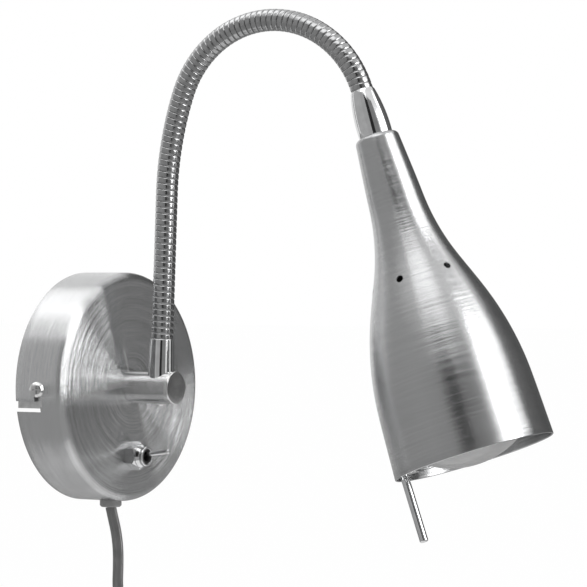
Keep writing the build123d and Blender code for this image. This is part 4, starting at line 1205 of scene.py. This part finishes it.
# CAD nodes that stay take their own finish
def pinFinish():
    # bright pins with a grey sleeve
    f = Finish("plugPins", plugPlace)
    sleeve, cloud = 1 - f.span(f.axes()[2], 45.4, 45.7), f.noise(0.8, 2.0)
    return f.done(Base_Color=f.blend(sleeve, grey(0.68), grey(0.34)), Metallic=1 - sleeve,
                  Roughness=0.18 + 0.22 * sleeve + 0.05 * (cloud - 0.5), Normal=f.bump(cloud, 0.004))


kept = {"wall_bracket": zincFinish, "handle_clip": zincFinish, "plug_pins": pinFinish()}
for name, finish in kept.items():
    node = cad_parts[name]
    node.data.materials.clear()
    node.data.materials.append(finish)
print("finishes on the kept parts")


# Studio: pale floor, white surround, two soft lamps and cards that the metal mirrors
studio = {"floor": -0.262, "reach": 14.0, "key": 19.0, "wedge": 2.6, "fill": 8.0, "top": 6.0, "back": 6.0,
          "ambient": 0.42}


def seenDirectly(tree):
    # 1 for rays from the camera, off a mirror or through glass
    path = tree.add("ShaderNodeLightPath")
    return path.out("Is Camera Ray") + path.out("Is Glossy Ray") + path.out("Is Transmission Ray")


def skyAndFloor():
    world = bpy.data.worlds.new("surround")
    scene.world = world
    world.use_nodes = True
    tree = Tree(world.node_tree)
    tree.inner.nodes.clear()
    strength = tree.add("ShaderNodeMapRange", {"clamp": True},
                        {0: seenDirectly(tree), 1: 0.0, 2: 1.0, 3: studio["ambient"], 4: 1.0})
    sky = tree.add("ShaderNodeBackground", {}, {"Color": (1, 1, 1, 1), "Strength": strength})
    tree.add("ShaderNodeOutputWorld", {}, {"Surface": sky})
    mesh = bpy.data.meshes.new("floor")
    corners = [(x * studio["reach"], y * studio["reach"], studio["floor"])
               for x, y in ((-1, -1), (1, -1), (1, 1), (-1, 1))]
    mesh.from_pydata(corners, [], [(0, 1, 2, 3)])
    floor = linked("floor", mesh)
    f = Finish("paleFloor")
    matt = f.add("ShaderNodeBsdfDiffuse", {}, {"Color": grey(0.86)})
    glow = f.add("ShaderNodeEmission", {}, {"Color": grey(1.0), "Strength": 1.0})
    seen = f.span(seenDirectly(f), 0.0, 1.0, 0.0, 0.99)
    mesh.materials.append(f.shown(f.add("ShaderNodeMixShader", {}, {0: seen, 1: matt, 2: glow})))


def around(angle, distance, high):
    # a place round the lamp; the angle is from the camera, to the photograph's right, in degrees
    centre, a = Vector((0.0, -0.12, 0.05)), radians(angle)
    return centre + (Vector(toCamera) * cos(a) + Vector(toRight) * sin(a)) * distance + Vector((0, 0, high)), centre


def lamp(name, angle, distance, high, size, power, mirrored=True):
    data = bpy.data.lights.new(name, "AREA")
    data.shape, data.size, data.size_y, data.energy = "RECTANGLE", size[0], size[1], power
    light = linked(name, data)
    light.location, centre = around(angle, distance, high)
    light.rotation_euler = (centre - light.location).to_track_quat("-Z", "Y").to_euler()
    light.visible_camera, light.visible_glossy = False, mirrored


def stageCard(name, verts, faces, tone):
    # seen only in reflections
    mesh = bpy.data.meshes.new(name)
    mesh.from_pydata(verts, [], faces)
    f = Finish(name + "Paint")
    mesh.materials.append(f.shown(f.add("ShaderNodeEmission", {}, {"Color": grey(tone), "Strength": 1.0})))
    piece = linked(name, mesh)
    piece.visible_camera = piece.visible_diffuse = piece.visible_shadow = piece.visible_transmission = False


def groundCard(inner, outer, tone):
    # a grey ring on the floor
    verts, faces = [], []
    for k in range(48):
        for reach in (inner, outer):
            verts.append((reach * cos(2 * pi * k / 48), reach * sin(2 * pi * k / 48) - 0.12, studio["floor"] + 0.002))
        n = (k + 1) % 48
        faces.append((2 * k, 2 * k + 1, 2 * n + 1, 2 * n))
    stageCard("groundCard", verts, faces, tone)


def card(name, first, last, distance, low, high, tone):
    # a curved card from one angle to another
    count = max(2, int(abs(last - first) / 6))
    verts, faces = [], []
    for k in range(count + 1):
        spot, centre = around(first + (last - first) * k / count, distance, 0)
        verts += [(spot.x, spot.y, low), (spot.x, spot.y, high)]
    for k in range(count):
        faces.append((2 * k, 2 * k + 2, 2 * k + 3, 2 * k + 1))
    stageCard(name, verts, faces, tone)


skyAndFloor()
lamp("keySoftbox", 60, 1.5, 0.45, (0.60, 1.30), studio["key"])
lamp("wedgeSoftbox", 90, 1.5, 1.06, (0.5, 0.7), studio["wedge"])
lamp("leftFill", -80, 2.0, 0.5, (1.0, 1.0), studio["fill"], False)
lamp("topSoftbox", -20, 0.9, 1.7, (1.2, 1.2), studio["top"])
lamp("backSoftbox", -124, 1.1, 1.6, (1.1, 1.1), studio["back"])
card("farLeftCard", -108, -46, 2.3, -0.25, 1.9, 0.50)
card("leftCard", -46, -17, 2.3, -0.25, 2.1, 0.46)
card("frontCard", -17, 3, 2.0, -0.25, 2.1, 0.03)
card("frontEdgeCard", 3, 36, 2.0, -0.25, 2.1, 0.27)
card("edgeStrip", 90, 103, 2.3, -0.25, 1.9, 0.02)
card("rightCard", 103, 128, 2.3, -0.25, 1.9, 0.16)
card("backCard", 128, 176, 2.3, -0.25, 1.9, 0.12)
groundCard(0.25, 2.3, 0.42)
print("studio set")
